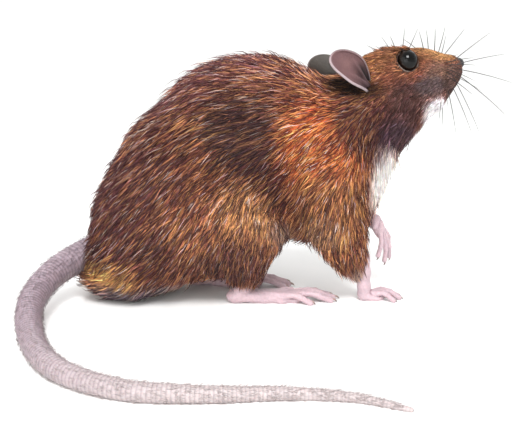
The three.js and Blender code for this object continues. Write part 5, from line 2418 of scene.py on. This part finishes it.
@dataclass(frozen=True)
class WhiskerRow:
    """A row of whiskers on each side: how its first and its last stand, in the head's own frame."""

    count: int
    roots: tuple[tuple[float, float, float], tuple[float, float, float]]
    leans: tuple[float, float]  # degrees from upright, forwards
    lengths: tuple[float, ...]
    outward: float  # degrees out to the side

    def steps(self) -> np.ndarray:
        """How far along the row each whisker is."""
        return np.linspace(0.0, 1.0, self.count)

    def leaning(self) -> np.ndarray:
        """Each whisker's lean, in radians."""
        return np.radians(mix(*self.leans, self.steps()))

    def rooted(self) -> Points:
        """Where each whisker leaves the left side of the head."""
        first, last = np.array(self.roots)
        return mix_rows(first, last, self.steps())

    def long(self) -> Distances:
        """Each whisker's length."""
        return np.interp(self.steps(), np.linspace(0, 1, len(self.lengths)), self.lengths)


@dataclass(frozen=True)
class MainFan(WhiskerRow):
    """The longest whiskers, fanned round the front of the whisker pad."""

    middle: tuple[float, float, float] = (48.0, 3.4, 54.0)
    arc: float = 1.3  # mm from the middle of the pad
    narrowing: float = 0.6

    def rooted(self) -> Points:
        """Where each whisker leaves the left pad."""
        lean = self.leaning()
        return at(*self.middle) + np.column_stack(
            (np.sin(lean) * self.arc, -np.cos(lean) * self.narrowing, np.cos(lean) * self.arc))


@dataclass(frozen=True)
class Whiskers:
    """Whiskers on the brow, the bridge of the nose, the whisker pads and the lips."""

    width: float = 0.23
    rings: int = 7
    curl: float = 0.07  # how far a tip drops and swings back, over its length
    depth: float = 0.3  # how deep a whisker is rooted
    stray: float = 0.09  # how much the whiskers of a row differ, but for the main fan
    rows: tuple[WhiskerRow, ...] = (
        MainFan(5, ((0, 0, 0), (0, 0, 0)), (38, 164), (13.0, 13.5, 15.0, 17.0, 18.0), 40),
        WhiskerRow(5, ((46.6, 3.6, 54.9), (46.2, 4.2, 52.6)), (58, 150), (9.0, 11.5, 12.0), 56),
        WhiskerRow(3, ((42.6, 1.4, 57.3), (47.6, 1.6, 56.6)), (-30, 22), (6.2, 7.2, 9.6), 20),
        WhiskerRow(3, ((33.2, 1.6, 58.0), (38.6, 1.8, 58.2)), (-52, 6), (5.0, 6.2, 7.0), 20),
        WhiskerRow(3, ((48.8, 2.2, 51.2), (46.6, 3.2, 50.0)), (158, 182), (16.0, 14.0, 10.0), 22),
    )

    def pieces(self, anatomy: Anatomy, shift: Points) -> None:
        """Puts all the whiskers on the head as one piece.

        Args:
            anatomy: the animal's fields.
            shift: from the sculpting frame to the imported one, in mm.
        """
        rng = np.random.default_rng(77)
        turned = anatomy.head.turned
        roots, ways, lengths = [], [], []
        for row in self.rows:
            stray = 0.0 if isinstance(row, MainFan) else self.stray
            lean, outward = row.leaning(), math.radians(row.outward)
            for side in SIDES.values():
                ahead = np.column_stack((
                    np.sin(lean) * math.cos(outward), np.full(row.count, side * math.sin(outward)),
                    np.cos(lean) * math.cos(outward)))
                roots.append(turned.onto(row.rooted() * (1, side, 1)))
                ways.append(unit(ahead + rng.normal(0, stray, ahead.shape)) @ turned.turn.T)
                lengths.append(row.long() * (1 - rng.uniform(0, 2 * stray, row.count)))
        root, ahead, length = np.vstack(roots), np.vstack(ways), np.concatenate(lengths)
        root = settled(anatomy.skin, root, steps=6)
        t = np.linspace(0, 1, self.rings + 2)
        drop = at(-0.7, 0, -1.0) * self.curl
        steps = ahead[:, None] * t[None, :, None] + drop * (t ** 2)[None, :, None]
        spines = root[:, None] - ahead[:, None] * self.depth + length[:, None, None] * steps
        widths = self.width * (1 - t[1:-1]) ** 0.45 * rng.uniform(0.75, 1.05, (len(root), 1))
        colours = painted(linear("#1d1416"), "#4e4141", smooth(t, 0.5, 1.0))
        upwards = np.tile(at(0.1, 0.2, 0.97), (len(root), 1))
        shell = hair_shell(spines, upwards, widths, np.tile(colours, (len(root), 1, 1)), flat=0.85)
        piece = mesh_object("whiskers", shell, [WHISKER.material()], "face", shift)
        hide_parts("whiskers_right", "whiskers_left")


@dataclass(frozen=True)
class Bristles:
    """Short stiff hairs that lie back along the tail from the edges of its rings."""

    count: int = 5200
    length: tuple[float, float] = (1.1, 2.1)
    width: float = 0.09
    lift: float = 24.0  # degrees off the tail

    def pieces(self, tail: Tail, shift: Points) -> None:
        """Puts the bristles on the tail.

        Args:
            tail: the tail.
            shift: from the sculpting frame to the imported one, in mm.
        """
        rng = np.random.default_rng(91)
        share = rng.random(self.count) ** 1.15 * 0.985
        angle = rng.uniform(-0.35 * math.pi, 1.35 * math.pi, self.count)
        spot, ahead, across, upward = tail.frames(share)
        out = across * np.cos(angle)[:, None] + upward * np.sin(angle)[:, None]
        root = tail.surface(share, angle, np.zeros(self.count))
        length = rng.uniform(*self.length, self.count) * (1 - 0.45 * share)
        lift = np.radians(self.lift + rng.normal(0, 6, self.count))
        way = ahead * np.cos(lift)[:, None] + out * np.sin(lift)[:, None]
        middle = root + way * (length * 0.5)[:, None]
        tip = root + way * length[:, None] - out * (0.22 * length)[:, None]
        spines = np.stack([root - out * 0.1, middle, tip], axis=1)
        spines[:, :, 2] = np.maximum(spines[:, :, 2], 0.04)
        colour = painted(linear("#6f6067"), "#b3a7a6", smooth(share, 0.05, 0.6))
        colours = np.repeat(colour[:, None], 3, axis=1) * rng.uniform(0.8, 1.2, (self.count, 1, 1))
        shell = hair_shell(spines, out, np.full((self.count, 1), self.width), np.clip(colours, 0, 1))
        mesh_object("tail_bristles", shell, [TAIL_HAIR.material()], "tail_skin", shift)


# ---- studio


@dataclass(frozen=True)
class Softbox:
    """A square area light, in metres, aimed at the animal."""

    name: str
    place: tuple[float, float, float]
    size: float
    watts: float

    def put(self, aim: Vector) -> None:
        """Hangs the light.

        Args:
            aim: the place that it shines at, in metres.
        """
        lamp = bpy.data.lights.new(self.name, "AREA")
        lamp.size, lamp.energy = self.size, self.watts
        light = bpy.data.objects.new(self.name, lamp)
        light.location = self.place
        light.rotation_euler = (aim - Vector(self.place)).to_track_quat("-Z", "Y").to_euler()
        bpy.context.scene.collection.objects.link(light)


@dataclass(frozen=True)
class Studio:
    """A pale round sweep of card, soft light from above and a camera low at the animal's right side."""

    floor_radius: float = 0.7
    sweep_radius: float = 0.35
    wall: float = 0.3
    spokes: int = 96
    card: str = "#f5f5f4"
    camera_distance: float = 0.18
    camera_elevation: float = 12.0
    camera_target: Points = field(default_factory=lambda: at(4.8, 0, 18.7))
    half_width: float = 62.4  # mm that the picture shows to each side of its middle
    sensor: float = 36.0
    boxes: tuple[Softbox, ...] = (
        Softbox("key", (0.05, -0.42, 0.56), 0.25, 4.4),
        Softbox("fill", (-0.45, -0.4, 0.3), 0.5, 1.1),
        Softbox("low fill", (-0.1, -0.5, 0.09), 0.36, 0.9),
        Softbox("back", (-0.25, 0.5, 0.5), 0.4, 1.8),
    )

    def card_material(self) -> bpy.types.Material:
        """Matt card, whose tone varies a little with its fibres."""
        material = bare_material("matt card")
        tree = material.node_tree
        fibres = add_node(tree, "TexNoise", {"Scale": 1 / (4 * MM), "Detail": 3.0}).outputs["Fac"]
        tone = add_node(tree, "MapRange", {"To Min": 0.985, "To Max": 1.015}, value=fibres)
        colour = add_node(
            tree, "HueSaturation", {"Color": (*linear(self.card), 1.0)}, value=tone.outputs["Result"])
        shader = add_node(tree, "BsdfPrincipled", {"Roughness": 0.9, "Specular IOR Level": 0.2},
                          base_color=colour.outputs["Color"])
        add_node(tree, "OutputMaterial", surface=shader.outputs["BSDF"])
        return material

    def sweep(self) -> None:
        """The floor, which rises all round in one curve."""
        bend = np.linspace(0, math.pi / 2, 13)
        radius = [0.02, 0.2, *(self.floor_radius + self.sweep_radius * np.sin(bend))]
        height = [0.0, 0.0, *(self.sweep_radius * (1 - np.cos(bend)))]
        radius.append(radius[-1])
        height.append(height[-1] + self.wall)
        n = self.spokes
        angle = np.arange(n) * 2 * math.pi / n
        points = [(r * math.cos(a), r * math.sin(a), h) for r, h in zip(radius, height) for a in angle]
        faces = [tuple(range(n))]
        for row in range(len(radius) - 1):
            for i in range(n):
                a, b = row * n + i, row * n + (i + 1) % n
                faces.append((a, a + n, b + n, b))
        mesh = bpy.data.meshes.new("sweep")
        mesh.from_pydata(points, [], faces)
        mesh.polygons.foreach_set("use_smooth", np.ones(len(mesh.polygons), bool))
        mesh.materials.append(self.card_material())
        floor = bpy.data.objects.new("sweep", mesh)
        bpy.context.scene.collection.objects.link(floor)

    def light(self, aim: Vector) -> None:
        """Soft boxes and a pale surround.

        Args:
            aim: the place that the lights shine at, in metres.
        """
        for box in self.boxes:
            box.put(aim)
        world = bpy.data.worlds.new("surround")
        world.use_nodes = True
        background = world.node_tree.nodes["Background"]
        background.inputs["Color"].default_value = (0.99, 0.995, 1.0, 1.0)
        background.inputs["Strength"].default_value = 0.8
        bpy.context.scene.world = world
        bpy.context.scene.view_settings.view_transform = "Standard"

    def camera(self, shift: Points) -> Vector:
        """The camera, and the place that it looks at.

        Args:
            shift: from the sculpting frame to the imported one, in mm.

        Returns:
            The place that it looks at, in metres.
        """
        data = bpy.data.cameras.new("camera")
        data.sensor_width = self.sensor
        data.lens = self.sensor / 2 * self.camera_distance / (self.half_width * MM)
        data.clip_start, data.clip_end = 0.01, 10.0
        camera = bpy.data.objects.new("camera", data)
        aim = Vector((self.camera_target + shift) * MM)
        tilt = math.radians(self.camera_elevation)
        back = Vector((0, -math.cos(tilt), math.sin(tilt)))
        camera.location = aim + back * self.camera_distance
        camera.rotation_euler = (-back).to_track_quat("-Z", "Y").to_euler()
        bpy.context.scene.collection.objects.link(camera)
        bpy.context.scene.camera = camera
        return aim

    def build(self, shift: Points) -> None:
        """Sets up the whole studio.

        Args:
            shift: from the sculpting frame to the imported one, in mm.
        """
        aim = self.camera(shift)
        self.sweep()
        self.light(aim)


# ---- the model


FLESH = [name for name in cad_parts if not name.startswith("eye_")]


def packed_shift(anatomy: Anatomy) -> Points:
    """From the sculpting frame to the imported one, in mm, by where the right eyeball lies in both."""
    low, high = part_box("eye_right")
    return np.array((low + high) / 2) / MM - anatomy.eyes[0]


def main() -> None:
    """Builds the animal and its studio, piece by piece."""
    logging.basicConfig(level=logging.INFO, format="%(message)s")
    anatomy = Anatomy()
    shift = packed_shift(anatomy)
    Studio().build(shift)
    skin = Skin(anatomy, Tail())
    body = skin.dressed(skin.body())
    log.info("the body's skin has %d triangles", len(body.faces))
    finishes = (UNDER_COAT, PAW_SKIN, NOSE_SKIN, EAR_SKIN, TAIL_SKIN)
    materials = [finish.material() for finish in finishes]
    piece = mesh_object("skin", skin.whole(body), materials, "bare_skin", shift)
    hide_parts(*FLESH)
    Eyes().pieces(anatomy, shift)
    Claws().pieces(anatomy, shift)
    Whiskers().pieces(anatomy, shift)
    Bristles().pieces(skin.tail, shift)
    Coat(anatomy, body).pieces(shift)


if __name__ == "__main__":
    main()
